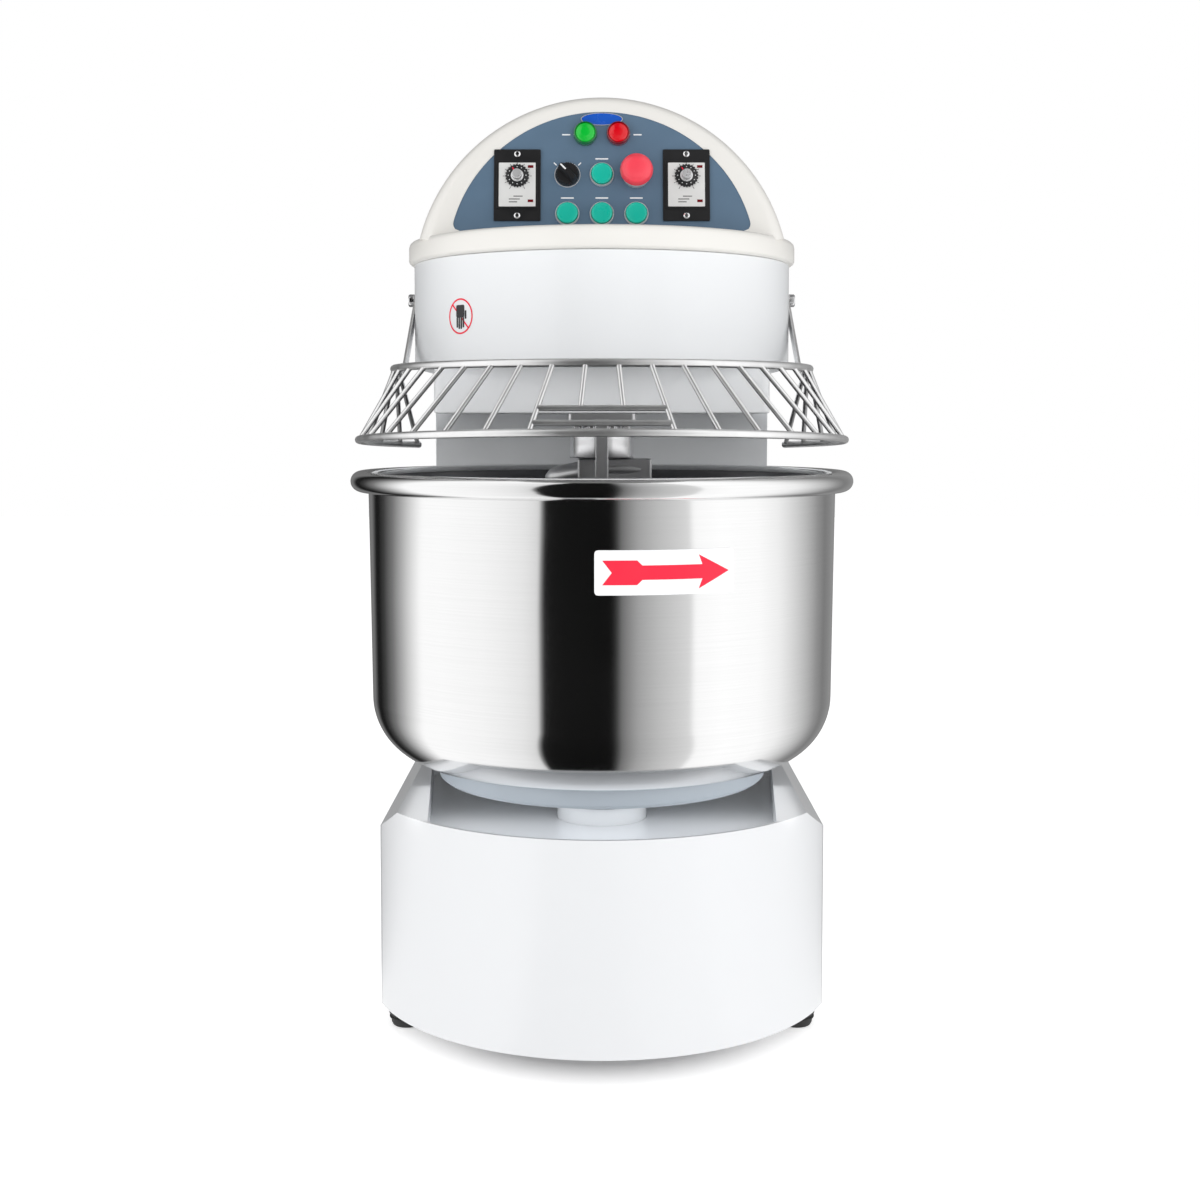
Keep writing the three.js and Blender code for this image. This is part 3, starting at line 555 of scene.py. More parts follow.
def rear_cover():
    low, high = extent("column_rear_cover")
    sheet = front_view(rounded(rectangle(low.x, high.x, low.z, high.z), 6, True), low.y, high.y - 0.3)
    tilt = spin(-32, "X")
    slots, blades, screws = [], [], []
    for row in range(6):
        z = 560 + row * 16
        for x in (-70, 70):
            opening = rounded(rectangle(x - 34, x + 34, z - 3.5, z + 3.5), 3.4, True)
            slots.append(front_view(opening, low.y - 5, high.y + 5))
            blade = front_view(rectangle(x - 33.5, x + 33.5, -0.6, 5.6), -0.5, 0.5)
            blades.append(moved(blade, at(0, low.y - 1.4, z - 2) @ tilt))
    turn = spin(-90, "X")
    for x in (low.x + 12, high.x - 12):
        for z in (low.z + 14, (low.z + high.z) / 2, high.z - 14):
            screws.append(moved(screw(4.2, 2.3), at(x, high.y - 2.6, z) @ turn))
    piece("rear_cover", sheet, WHITE, "column_rear_cover", bevel=0.9, cuts=slots)
    piece("rear_louvres", joined(*blades), WHITE)
    piece("rear_screws", joined(*screws), CHROME)


def head():
    low, high = HEAD_LOW.z, HEAD_HIGH.z
    outer = round_front(HEAD_HIGH.x, HEAD_RADIUS, HEAD_CENTRE_Y, corner=6)
    inner = round_front(HEAD_HIGH.x, HEAD_RADIUS, HEAD_CENTRE_Y, WALL, corner=3)
    piece("head_housing", shell(outer, inner, low, high), WHITE, "head_shell", bevel=1.3)

    plate_low, plate_high = extent("head_underside_plate")
    plan = round_front(HEAD_HIGH.x, HEAD_RADIUS, HEAD_CENTRE_Y, WALL + 0.3, corner=3)
    bearing = plug(44, 690, 720, 64, (0, SPIRAL_Y, 0))
    passage = prism(rectangle(-150, 150, 140, 400), 690, 720)
    piece("head_floor", prism(plan, plate_low.z, plate_high.z), WHITE, "head_underside_plate", bevel=0.6,
          cuts=[bearing, passage])


def spiral_housing():
    half, front = HOUSING_HIGH.x, HOUSING_LOW.y
    radius = COLUMN_RADIUS - 1
    edge = math.degrees(math.acos(half / radius))
    plan = [(-half, BOWL_Y + 60), (-half, front), (half, front), (half, BOWL_Y + 60)]
    plan = rounded(plan, 9)[1:-1] + arc(0, BOWL_Y, radius, edge, 180 - edge, 72)
    box = prism(plan, HOUSING_LOW.z, HOUSING_HIGH.z)
    hole = plug(30, 640, 720, 64, (0, SPIRAL_Y, 0))
    # The spiral box takes the lighter copy of the white paint: painted light in the head's shadow
    piece("spiral_box", box, HOUSING_WHITE_PAINTED_LIGHT, "spiral_housing", bevel=2, cuts=[hole])


def vault():
    """The barrel vault: closed loops from its back to its leaning front, then over a lip to the panel."""
    steps = 144
    foot = math.asin((LEDGE_TOP - 3 - VAULT_CENTRE_Z) / VAULT_RADIUS)
    angles = [foot + (math.pi - 2 * foot) * k / steps for k in range(steps + 1)]

    def edge(angle):
        """Size of the softened front edge: larger towards the sides."""
        return 9 + 8 * (1 - math.sin(angle)) ** 0.8

    def front(z):
        return VAULT_Y + (z - LEDGE_TOP) * math.tan(LEAN)

    def loop(inset, setback, back=None):
        points = []
        for angle in angles:
            radius = VAULT_RADIUS - inset * edge(angle)
            x, z = radius * math.cos(angle), VAULT_CENTRE_Z + radius * math.sin(angle)
            y = back if back is not None else front(z) + setback * edge(angle)
            points.append((x, y, z))
        return points

    loops = []
    for k in range(4):
        a = math.radians(30 * k)
        inset = 0.45 * (1 - math.sin(a))
        loops.append(loop(inset, 0, REAR_Y - 5 * (1 - math.cos(a))))
    for k in range(9):
        a = math.radians(90 - 11.25 * k)
        loops.append(loop(1 - math.sin(a), 1 - math.cos(a)))
    lip, inner_foot = PANEL_RADIUS - LIP_WIDTH, PANEL_FOOT - 0.3 - PANEL_CENTRE
    steps_in = [(lip, inner_foot + 1, LIP_CORNER, 0), (lip, inner_foot + 1, LIP_CORNER, 0.9),
                (PANEL_RADIUS + 0.4, inner_foot, 0, 0.9), (PANEL_RADIUS + 0.4, inner_foot, 0, 4.5)]
    for radius, foot, corner, recess in steps_in:
        start = math.asin(foot / radius)
        points = []
        for k in range(steps + 1):
            angle = start + (math.pi - 2 * start) * k / steps
            x, z = radius * math.cos(angle), radius * math.sin(angle)
            short = max(corner - (z - foot), 0)
            x -= math.copysign(corner - math.sqrt(corner ** 2 - short ** 2), x)
            points.append(tuple(PANEL @ Vector((x, PANEL_CENTRE + z, 1 - recess))))
        loops.append(points)
    return loft(loops)


def top_cover():
    ledge_loops = []
    low, high = COVER_LOW.z, LEDGE_TOP
    for inset, z in ((4, low), (1.2, low + 1.2), (0, low + 4), (0, high - 6), (0.9, high - 2.4),
                     (2.6, high - 0.8), (5.5, high)):
        plan = round_front(COVER_HIGH.x, LEDGE_RADIUS, HEAD_CENTRE_Y, inset, corner=8)
        ledge_loops.append([(x, min(y, REAR_Y), z) for x, y in plan])
    cover = joined(loft(ledge_loops), vault())
    piece("cover_moulding", cover, COVER_WHITE, "top_cover", sharp=50)


# ---- control panel ----

PANEL = (at(0, VAULT_Y, LEDGE_TOP) @ Matrix.Rotation(math.pi / 2 - LEAN, 4, "X") @ at(0, 0, -1))


def panel_place(node):
    """A control's place (x, y) in the panel's own frame, from its CAD node."""
    local = PANEL.inverted() @ middle(node)
    return local.x, local.y


def on_panel(data, x=0, y=0, z=0):
    return moved(data, PANEL @ at(x, y, z))


def panel_plate():
    radius = PANEL_RADIUS
    start = math.degrees(math.asin((PANEL_FOOT - PANEL_CENTRE) / radius))
    plan = [(-150, PANEL_FOOT), (150, PANEL_FOOT)]
    plan += arc(0, PANEL_CENTRE, radius, start, 180 - start, 96)
    holes = []
    for node, size in (*[(f"{kind}_button", 12) for kind in BUTTONS], ("estop_stem", 8.4)):
        holes.append(on_panel(plug(size, -9, 9, 40), *panel_place(node)))
    piece("panel_plate", on_panel(prism(plan, -3, 0)), SLATE, "control_panel", bevel=0.5, cuts=holes)

    plate = ellipse(BADGE_WIDTH / 2, BADGE_HEIGHT / 2, 64)
    rim = shell(plate, ellipse(0.48 * BADGE_WIDTH, 0.45 * BADGE_HEIGHT, 64), 0, 0.8)
    piece("blank_badge", on_panel(prism(plate, 0, 0.5), 0, BADGE_Y), BADGE_BLUE)
    piece("badge_rim", on_panel(rim, 0, BADGE_Y), SATIN)


def push_buttons():
    collar = rounded([(12.0, 0.2), (13.3, 0.2), (13.3, 3.2), (12.8, 4.7), (12.0, 4.7)], 0.35, True)
    cap = rounded([(0, -5.5), (11.5, -5.5), (11.5, 7.3), (10.5, 8.35), (9.2, 7.9), (0, 7.5)], 0.6)
    for kind in BUTTONS:
        x, y = panel_place(f"{kind}_button_bezel")
        piece(f"{kind}_collar", on_panel(turned(collar, 64, closed=True), x, y), SATIN,
              f"{kind}_button_bezel")
        piece(f"{kind}_cap", on_panel(turned(cap, 64), x, y), TEAL, f"{kind}_button", body=f"{kind}_push")


def lamps():
    rim = rounded([(11.0, 0.2), (13.0, 0.2), (13.0, 6.2), (12.3, 8.6), (11.2, 9.4), (11.0, 8.6)], 0.5, True)
    lens = rounded([(0, 0.4), (10.9, 0.4), (10.9, 8.2), (9.2, 9.8), (5, 10.9), (0, 11.3)], 1.0)
    for name, colour, dark in (("run", GREEN, DARK_GREEN), ("power", RED, DARK_RED)):
        x, y = panel_place(f"{name}_lamp_bezel")
        piece(f"{name}_lamp_rim", on_panel(turned(rim, 64, closed=True), x, y), dark, f"{name}_lamp_bezel")
        rings = [turned([(r, 9.7 - r * 0.02), (r + 0.25, 10.9 - r * r * 0.018), (r + 0.5, 9.7)], 48,
                        closed=True) for r in (3, 5.5, 8)]
        piece(f"{name}_lamp_glass", on_panel(joined(turned(lens, 64), *rings), x, y), colour,
              f"{name}_lamp_lens")


def emergency_stop():
    x, y = panel_place("estop_bezel")
    collar = rounded([(12, 0.2), (15, 0.2), (15, 5), (13.8, 7.8), (12, 7.8)], 0.7, True)
    piece("estop_collar", on_panel(turned(collar, 64, closed=True), x, y), SATIN, "estop_bezel")
    stem = rounded([(0, -11.5), (7.9, -11.5), (7.9, 13.6), (0, 13.6)], 0.5)
    piece("estop_shank", on_panel(turned(stem, 48), x, y), BLACK, "estop_stem", body="estop_plunger")
    cap = [(0, 14), (15.6, 14), *arc(15.5, 18.2, 2.4, -60, 40, 6), (17.2, 21.5), (16.2, 24.2), (14.4, 26.1),
           (13.6, 26.4), (13.2, 26.9), (12.2, 27.7), (8, 28.8), (0, 29.3)]
    piece("estop_mushroom", on_panel(turned(cap, 96), x, y), ESTOP_RED, "estop_cap", body="estop_head")


def selector():
    joint = next(each for each in frame["record"]["behaviour"]["joints"] if each["name"] == "selector_turn")
    axis = PANEL.inverted() @ (Vector(joint["pos_m"]) / UNIT)
    x, y = axis.x, axis.y
    turn = spin(45)
    flutes = 28
    low_loop, high_loop = [], []
    for k in range(flutes * 4):
        angle = 90 * k / flutes
        radius = 12.6 + 0.35 * math.cos(math.radians(angle * flutes))
        low_loop.append((*polar(radius, angle), 0.8))
        high_loop.append((*polar(radius * 0.97, angle), 6.6))
    top_loop = [(px * 0.9, py * 0.9, 8) for px, py, _ in high_loop]
    skirt = loft([low_loop, high_loop, top_loop])
    grip = loft([[(px, py, 5) for px, py in rounded(rectangle(-4.2, 4.2, -12.2, 12.2), 3, True)],
                 [(px, py, 14) for px, py in rounded(rectangle(-3.2, 3.2, -11.6, 11.6), 2.6, True)],
                 [(px, py, 15.8) for px, py in rounded(rectangle(-2.2, 2.2, -10.6, 10.6), 2, True)]])
    piece("selector_handle", on_panel(moved(joined(skirt, grip), turn), x, y), BLACK, "selector_knob",
          body="selector")
    line = prism(rounded(rectangle(-0.8, 0.8, 2.2, 10.4), 0.6, True), 15.7, 15.98)
    piece("selector_pointer", on_panel(moved(line, turn), x, y), MARK, body="selector")
    collar = turned(rounded([(13.2, 0), (14.2, 0), (14.2, 0.9), (13.2, 0.9)], 0.3, True), 64, closed=True)
    piece("selector_collar", on_panel(collar, x, y), SATIN)


def timers():
    for side in ("left", "right"):
        x, y = panel_place(f"timer_{side}_frame")
        dial_x, dial_y = panel_place(f"timer_{side}_knob")
        outline = rounded(rectangle(-25.5, 25.5, -40, 40), 1.5, True)
        ledge = rounded(rectangle(-22.6, 22.6, -27, 27), 1.2, True)
        frame_data = joined(prism(outline, 0.1, 3.0), prism(ledge, 2.9, 4.0))
        piece(f"timer_{side}_case", on_panel(frame_data, x, y), BLACK, f"timer_{side}_frame", bevel=0.5)
        face = rounded(rectangle(-20, 20, -24.5, 24.5), 0.8, True)
        piece(f"timer_{side}_face", on_panel(prism(face, 3.9, 4.25), x, y), LABEL_FACE)
        screws = joined(*[on_panel(screw(3.6, 2), x, y + dy, 3.0) for dy in (-34.5, 34.5)])
        piece(f"timer_{side}_screws", screws, CHROME)
        lights = joined(prism(rectangle(11.5, 17.5, 18.6, 21.6), 4.2, 4.5),
                        prism(rectangle(11.5, 17.5, -19.8, -16.8), 4.2, 4.5))
        piece(f"timer_{side}_lights", on_panel(lights, x, y), INDICATOR)
        ticks = []
        for k in range(11):
            tick = prism(rectangle(-0.25, 0.25, 13.6, 15.6 if k % 5 else 16.6), 4.2, 4.4)
            ticks.append(moved(tick, spin(150 - 30 * k)))
        piece(f"timer_{side}_ticks", on_panel(joined(*ticks), dial_x, dial_y), BLACK)
        lines = [prism(rectangle(-9 if k else -4, 6 - 3 * k, -13.5 - 3.2 * k, -12.6 - 3.2 * k), 4.2, 4.35)
                 for k in range(3)]
        piece(f"timer_{side}_lines", on_panel(joined(*lines), x, y), BLACK)
        timer_dial(side, dial_x, dial_y)


def timer_dial(side, x, y):
    """A toothed black dial with white dots, and a bright knob with a pointer on it."""
    teeth, ring = 24, []
    for k in range(teeth * 4):
        ring.append(polar(13 if k % 4 < 2 else 12, 90 * k / teeth))
    dial = loft([[(px, py, 4.7) for px, py in ring], [(px, py, 6.4) for px, py in ring],
                 [(px * 0.94, py * 0.94, 6.9) for px, py in ring]])
    piece(f"timer_{side}_dial", on_panel(dial, x, y), BLACK, f"timer_{side}_knob",
          body=f"timer_{side}_dial")
    knob = [(0, 6.5), (6.9, 6.5), (6.9, 7.3), (5.6, 7.8), (5.45, 13.6), (4.9, 14.2), (0, 14)]
    piece(f"timer_{side}_grip", on_panel(turned(rounded(knob, 0.4), 48), x, y), SATIN,
          body=f"timer_{side}_dial")
    dot = [(0, 6.8), (0.55, 6.8), (0.5, 7.05), (0, 7.1)]
    dots = [moved(turned(dot, 12), at(*polar(9.6, a), 0)) for a in range(0, 360, 30) if a != 120]
    piece(f"timer_{side}_dots", on_panel(joined(*dots), x, y), MARK, body=f"timer_{side}_dial")
    pointer = moved(prism([(-0.9, 7.6), (0.9, 7.6), (0, 11.4)], 6.8, 7.15), spin(30))
    piece(f"timer_{side}_pointer", on_panel(pointer, x, y), ARROW_RED, body=f"timer_{side}_dial",
          slot="red_lens")


def panel_marks():
    """Plain printed marks in place of captions: bars over the buttons and ticks round the selector."""
    marks = []
    for kind in BUTTONS:
        x, y = panel_place(f"{kind}_button_bezel")
        marks.append(prism(rounded(rectangle(x - 7, x + 7, y + 17.6, y + 19), 0.5, True), 0, 0.12))
    x, y = panel_place("selector_knob")
    for angle in (-45, 45):
        tick = prism(rounded(rectangle(-0.6, 0.6, 16.6, 21), 0.4, True), 0, 0.12)
        marks.append(moved(tick, at(x, y, 0) @ spin(angle)))
    for name, sign in (("run", -1), ("power", 1)):
        x, y = panel_place(f"{name}_lamp_bezel")
        x += sign * 21
        marks.append(prism(rounded(rectangle(x - 4.5, x + 4.5, y - 0.7, y + 0.7), 0.5, True), 0, 0.12))
    piece("panel_marks", on_panel(joined(*marks)), MARK, slot="panel_blue")


# ---- bowl and its drive ----

def bowl_profile():
    bottom, top, outer = BOWL_LOW.z, BOWL_HIGH.z, BOWL_HIGH.x
    fillet_z = bottom + BOWL_FILLET
    roll_r, roll_z = outer - ROLL_SECTION, top - ROLL_SECTION
    return [
        (0, bottom), (BOWL_FLOOR_RADIUS * 0.5, bottom),
        *arc(BOWL_FLOOR_RADIUS, fillet_z, BOWL_FILLET, -90, 0, 24),
        (BOWL_WALL_RADIUS - 1.5, (fillet_z + roll_z) / 2),
        (BOWL_WALL_RADIUS, roll_z - ROLL_SECTION - 1),
        *arc(roll_r, roll_z, ROLL_SECTION, -130, 180, 28),
        (BOWL_WALL_RADIUS - BOWL_WALL, roll_z - ROLL_SECTION - 1),
        (BOWL_WALL_RADIUS - BOWL_WALL - 1.5, (fillet_z + roll_z) / 2),
        *arc(BOWL_FLOOR_RADIUS, fillet_z, BOWL_FILLET - BOWL_WALL, 0, -90, 24),
        (BOWL_FLOOR_RADIUS * 0.5, bottom + BOWL_WALL), (0, bottom + BOWL_WALL),
    ]


def bowl():
    data = turned(bowl_profile(), 192, (0, BOWL_Y, 0))
    made = piece("mixing_bowl", data, BOWL_STEEL, "bowl", body="bowl_assembly", sharp=60)
    # The bowl's inner faces take the darker copy of its steel: painted shade inside the bowl
    made.data.materials.append(BOWL_INSIDE_PAINTED_SHADE)
    for face in made.data.polygons:
        outward = Vector((face.center.x, face.center.y - BOWL_AXIS[1], 0))
        inner = outward.length < (BOWL_WALL_RADIUS - BOWL_WALL / 2) * UNIT
        face.material_index = int(inner and (face.normal.dot(outward) < 0 or face.normal.z > 0.5))


def carrier():
    """The plate that carries the bowl, its hub and the sleeve it turns in."""
    low, high = CARRIER_LOW.z, CARRIER_HIGH.z
    plate = rounded([(20.4, low), (53, low), (53, low + 3), (49.6, low + 3.4), (49.6, 257), (53, 260.1),
                     (173, 260.1), (176.9, 263.5), (176.9, high), (20.4, high)], 1.6, True)
    # The carrier plate's bluish white paint is darkened here as painted shade under the bowl
    piece("carrier_plate", turned(plate, 128, (0, BOWL_Y, 0), True), CARRIER_WHITE_PAINTED_SHADE, "bowl_carrier",
          body="bowl_assembly")
    nipple = rounded([(0, 0), (4.8, 0), (4.8, 2.4), (3.2, 2.8), (3.2, 5), (1.6, 6.8), (0, 7)], 0.4)
    seat = at(0, BOWL_Y - 49.2, 241) @ spin(90, "X")
    piece("carrier_set_screw", moved(turned(nipple, 24), seat), CHROME, body="bowl_assembly")

    low, high = extent("bowl_bearing_housing")
    sleeve = rounded([(21, low.z), (44, low.z), (44, 192), (72, 192), (72, 207.6), (49, 207.6), (49, high.z),
                      (21, high.z)], 1.0, True)
    piece("bearing_sleeve", turned(sleeve, 96, (0, BOWL_Y, 0), True), WHITE, "bowl_bearing_housing")


def on_bowl(s, z, lift):
    """A point on the bowl's front: s millimetres round it to the right, at height z."""
    radius = BOWL_WALL_RADIUS - 0.6 + lift
    angle = s / BOWL_WALL_RADIUS
    return radius * math.sin(angle), BOWL_Y - radius * math.cos(angle), z


def wrapped(outline, lift, thickness, columns=56):
    """A flat outline in (s, z), cut into strips and laid round the bowl."""
    flat = mesh_object("flat", prism(outline, 0, thickness))
    form = bmesh.new()
    form.from_mesh(flat.data)
    bpy.data.objects.remove(flat)
    low = min(p[0] for p in outline)
    high = max(p[0] for p in outline)
    for k in range(1, columns):
        plane = (low + (high - low) * k / columns) * UNIT
        geometry = form.verts[:] + form.edges[:] + form.faces[:]
        bmesh.ops.bisect_plane(form, geom=geometry, plane_co=(plane, 0, 0), plane_no=(1, 0, 0))
    form.verts.index_update()
    points = [on_bowl(v.co.x / UNIT, v.co.y / UNIT, lift + v.co.z / UNIT) for v in form.verts]
    faces = [[v.index for v in face.verts] for face in form.faces]
    form.free()
    return points, faces


def bowl_label():
    """The direction label: a white field with a notched arrow, wrapped round the bowl's front."""
    left, right, low, high = -7.4, 132, 481.4, 523.9
    centre = (low + high) / 2
    field = rounded(rectangle(left, right, low, high), 4, True)
    piece("arrow_label", wrapped(field, 0.1, 0.25), MARK, body="bowl_assembly", slot="bowl_steel", sharp=60)
    half = [(33, 11.6), (38, 6.8), (97.6, 6.8), (93.8, 16.2), (126.2, 0)]
    arrow = [(0, 11.6), (9, 0), (0, -11.6)] + [(s, -t) for s, t in half] + [(s, t) for s, t in half[-2::-1]]
    arrow = [(s, centre + t) for s, t in arrow]
    piece("direction_arrow", wrapped(arrow, 0.3, 0.2), ARROW_RED, body="bowl_assembly", slot="bowl_steel",
          sharp=60)


def head_roundel():
    """A plain safety roundel on the head's front: a red ring and bar over a simple mitten."""
    def bent(data):
        points, faces = data
        placed = []
        for x, z, lift in points:
            angle = ROUNDEL_TURN + x / HEAD_RADIUS
            size = HEAD_RADIUS + lift
            placed.append((size * math.sin(angle), HEAD_CENTRE_Y - size * math.cos(angle), ROUNDEL_Z + z))
        return placed, faces

    outer, inner = ROUNDEL_RADIUS, ROUNDEL_RADIUS - ROUNDEL_BAND
    ring = shell(ellipse(outer, outer, 72), ellipse(inner, inner, 72), 0.1, 0.3)
    bar = prism(rectangle(-17.6, 17.6, -0.9, 0.9), 0.3, 0.45)
    bar = moved(bar, spin(-45))
    piece("roundel_ring", bent(joined(ring, bar)), ARROW_RED, slot="estop_red", sharp=60)
    mitten = [prism(rounded(rectangle(-6.5, 6.5, -1.5, 12), 2.2, True), 0.1, 0.25)]
    for x, tip in ((-4.95, -12), (-1.65, -13.5), (1.65, -13.5), (4.95, -12)):
        mitten.append(prism(rounded(rectangle(x - 1.2, x + 1.2, tip, -1.2), 1.1, True), 0.1, 0.25))
    mitten.append(prism(rounded(rectangle(7.1, 9.6, -3, 6), 1.1, True), 0.1, 0.25))
    piece("roundel_hand", bent(joined(*mitten)), BLACK, sharp=60)


# ---- spiral, breaker bar and guard ----

def smoothstep(value, low, high):
    t = min(1.0, max(0.0, (value - low) / (high - low)))
    return t * t * (3 - 2 * t)


def hook_path():
    """The hook's centre line: a stub across the hub, then a helix that widens, runs down and draws in."""
    knots = [Vector((HOOK_STUB, 0, HOOK_TOP)), Vector((0, 0, HOOK_TOP))]
    for i in range(1, 31):
        travel = i / 30
        angle = math.pi - travel * HOOK_TURNS * TAU
        radius = HOOK_START + (HOOK_WIDE - HOOK_START) * smoothstep(travel, 0, 0.35)
        radius -= (HOOK_WIDE - HOOK_END) * smoothstep(travel, 0.7, 1)
        z = HOOK_TOP - (HOOK_TOP - HOOK_BOTTOM) * travel
        knots.append(Vector((radius * math.cos(angle), radius * math.sin(angle), z)))
    return smooth_path(knots, 8)


def smooth_path(knots, between):
    """A Catmull-Rom curve through the knots."""
    path = []
    for i in range(len(knots) - 1):
        before = knots[max(i - 1, 0)]
        first, second = knots[i], knots[i + 1]
        after = knots[min(i + 2, len(knots) - 1)]
        for k in range(between):
            t = k / between
            path.append(0.5 * ((2 * first) + (second - before) * t
                               + (2 * before - 5 * first + 4 * second - after) * t * t
                               + (3 * first - before - 3 * second + after) * t ** 3))
    return path + [knots[-1]]


def spiral():
    path = [p + Vector((0, SPIRAL_Y, 0)) for p in hook_path()]
    count = len(path)
    radii = [HOOK_BAR] * count
    for k in range(8):
        ease = math.sqrt(1 - (1 - k / 8) ** 2)
        radii[count - 1 - k] = HOOK_BAR * max(0.12, ease)
    radii[0], radii[1] = HOOK_BAR - 0.8, HOOK_BAR - 0.1
    piece("hook", swept(path, radii, 28), TOOL_STEEL, "spiral_hook", body="spiral_assembly", sharp=50)
    block = prism(rounded(rectangle(-28, 58, SPIRAL_Y - HOOK_BAR, SPIRAL_Y + HOOK_BAR), 3, True),
                  HOOK_TOP - HOOK_BAR, HOOK_TOP + HOOK_BAR)
    piece("hook_arm", block, TOOL_STEEL, body="spiral_assembly", bevel=1.6)

    shaft = rounded([(0, 602), (37.4, 602), (37.4, 631), (24, 631), (24, 639), (38, 639), (38, 644),
                     (22, 644), (22, 794.8), (0, 794.8)], 1.2)
    piece("hub", turned(shaft, 96, (0, SPIRAL_Y, 0)), HUB_STEEL, "spiral_shaft", body="spiral_assembly")
    bolts = []
    for k in range(8):
        x, y = polar(31, 45 * k + 22.5)
        bolts.append(moved(prism(ellipse(5.2, 5.2, 6), 631.6, 638.9), at(x, SPIRAL_Y + y, 0)))
    piece("hub_bolts", joined(*bolts), CHROME, body="spiral_assembly", slot="tool_steel", bevel=0.5)
    cover = rounded([(26.1, 645.1), (39, 645.1), (39, 652.6), (26.1, 652.6)], 1.0, True)
    piece("bearing_cover", turned(cover, 96, (0, SPIRAL_Y, 0), True), HUB_STEEL, "spiral_bearing_cover")


def breaker():
    low, high = extent("breaker_bar")
    middle_y = BOWL_Y + 12
    section = rounded(rectangle(-7, 7, BOWL_Y, BOWL_Y + 24), 1.2, True)
    tip = [(x * 0.6, middle_y + (y - middle_y) * 0.75) for x, y in section]
    bar = loft([[(x, y, low.z) for x, y in tip], [(x, y, low.z + 3) for x, y in section],
                [(x, y, high.z - 6) for x, y in section]])
    flange_front = BOWL_Y + 1
    plate = prism(rounded(rectangle(-37, 37, flange_front, flange_front + 50), 5, True), high.z - 8, high.z)
    piece("breaker", joined(bar, plate), TOOL_STEEL, "breaker_bar", bevel=0.6)
    heads = []
    for x in (-27, 27):
        for y in (flange_front + 10, flange_front + 40):
            heads.append(moved(prism(ellipse(5.5, 5.5, 6), high.z - 13.5, high.z - 8.1), at(x, y, 0)))
    piece("breaker_bolts", joined(*heads), CHROME, bevel=0.5)


def on_top_ring(degrees):
    angle, radius = math.radians(degrees), GUARD_TOP_RADIUS
    return Vector((radius * math.sin(angle), BOWL_Y - radius * math.cos(angle), GUARD_TOP_Z))


def on_rim(degrees):
    angle = math.radians(degrees)
    fall = (1 - math.cos(angle)) / (1 - math.cos(math.radians(GUARD_RIM_END)))
    z = GUARD_RIM_FRONT + (GUARD_RIM_REAR - GUARD_RIM_FRONT) * fall
    return Vector((GUARD_RIM_RADIUS * math.sin(angle), BOWL_Y - GUARD_RIM_RADIUS * math.cos(angle), z))


def guard():
    bar, pitch, first, spread = 2.6, 8, 4, 1.27
    parts = []
    for where, end in ((on_top_ring, GUARD_TOP_END), (on_rim, GUARD_RIM_END)):
        path = [where(-end + 2 * end * k / 160) for k in range(161)]
        parts.append(swept(path, 3.95, 16))

    def along(sign, drop):
        degrees = sign * (first + pitch)
        return on_top_ring(degrees).lerp(on_rim(degrees * spread), drop)

    def rod(start, end, radius=bar):
        parts.append(swept([start.lerp(end, k / 4) for k in range(5)], radius, 12))

    for sign in (-1, 1):
        for i in range(1, 12):
            degrees = sign * (first + pitch * i)
            rod(on_top_ring(degrees), on_rim(degrees * spread))
        rod(on_top_ring(sign * (GUARD_TOP_END - 0.5)), on_rim(sign * (GUARD_RIM_END - 0.5)))
        upper = along(-1, HANDLE_DROPS[0]).lerp(along(1, HANDLE_DROPS[0]), 0.5 + sign / 6)
        rod(on_top_ring(sign * first), upper)
    for drop in HANDLE_DROPS:
        rod(along(-1, drop), along(1, drop), 3)
    piece("wire_guard", joined(*parts), WIRE_STEEL, "guard", body="guard_assembly", sharp=60)

    for side, sign in (("left", -1), ("right", 1)):
        guard_arm(side, sign)


def guard_arm(side, sign):
    low, high = extent(f"guard_arm_{side}")
    pivot = middle(f"guard_pivot_{side}")
    end = on_top_ring(GUARD_TOP_END)
    along = math.degrees(math.atan2(end.z - pivot.z, end.y - pivot.y))
    outline = arc(end.y, end.z, 8, along - 90, along + 90, 16)
    outline += arc(pivot.y, pivot.z, 9, along + 90, along + 270, 20)
    blade = loft([[(x, y, z) for y, z in outline] for x in (low.x, high.x)])
    hole = moved(plug(4.6, -20, 20, 32), at(*pivot) @ spin(90, "Y"))
    piece(f"arm_{side}", blade, WIRE_STEEL, f"guard_arm_{side}", body="guard_assembly", bevel=0.5,
          cuts=[hole])
    bolt = rounded([(0, 0), (4, 0), (4, 4.9), (7.4, 4.9), (7.4, 10.6), (6.4, 11.8), (3, 11.8), (2.6, 9.5),
                    (0, 9.5)], 0.4)
    turn = spin(sign * 90, "Y")
    seat = at(sign * (HEAD_HIGH.x + 0.3), pivot.y, pivot.z)
    piece(f"pivot_{side}", moved(turned(bolt, 48), seat @ turn), CHROME, f"guard_pivot_{side}")


def gland():
    centre = middle("cable_gland")
    turn = at(centre.x, REAR_Y, centre.z) @ spin(-90, "X")
    hexagon = ellipse(13.9, 13.9, 6)
    body = joined(
        turned(rounded([(5, 0.3), (12.6, 0.3), (12.6, 1.6), (5, 1.6)], 0.4, True), 48, closed=True),
        shell(hexagon, ellipse(0.4 * 13.9, 0.4 * 13.9, 6), 1.6, 6.4),
        turned(rounded([(5, 6.4), (11, 6.4), (11, 11), (8.6, 14.6), (5, 14.6)], 0.8, True), 48, closed=True))
    piece("gland", moved(body, turn), BLACK, "cable_gland", bevel=0.3)


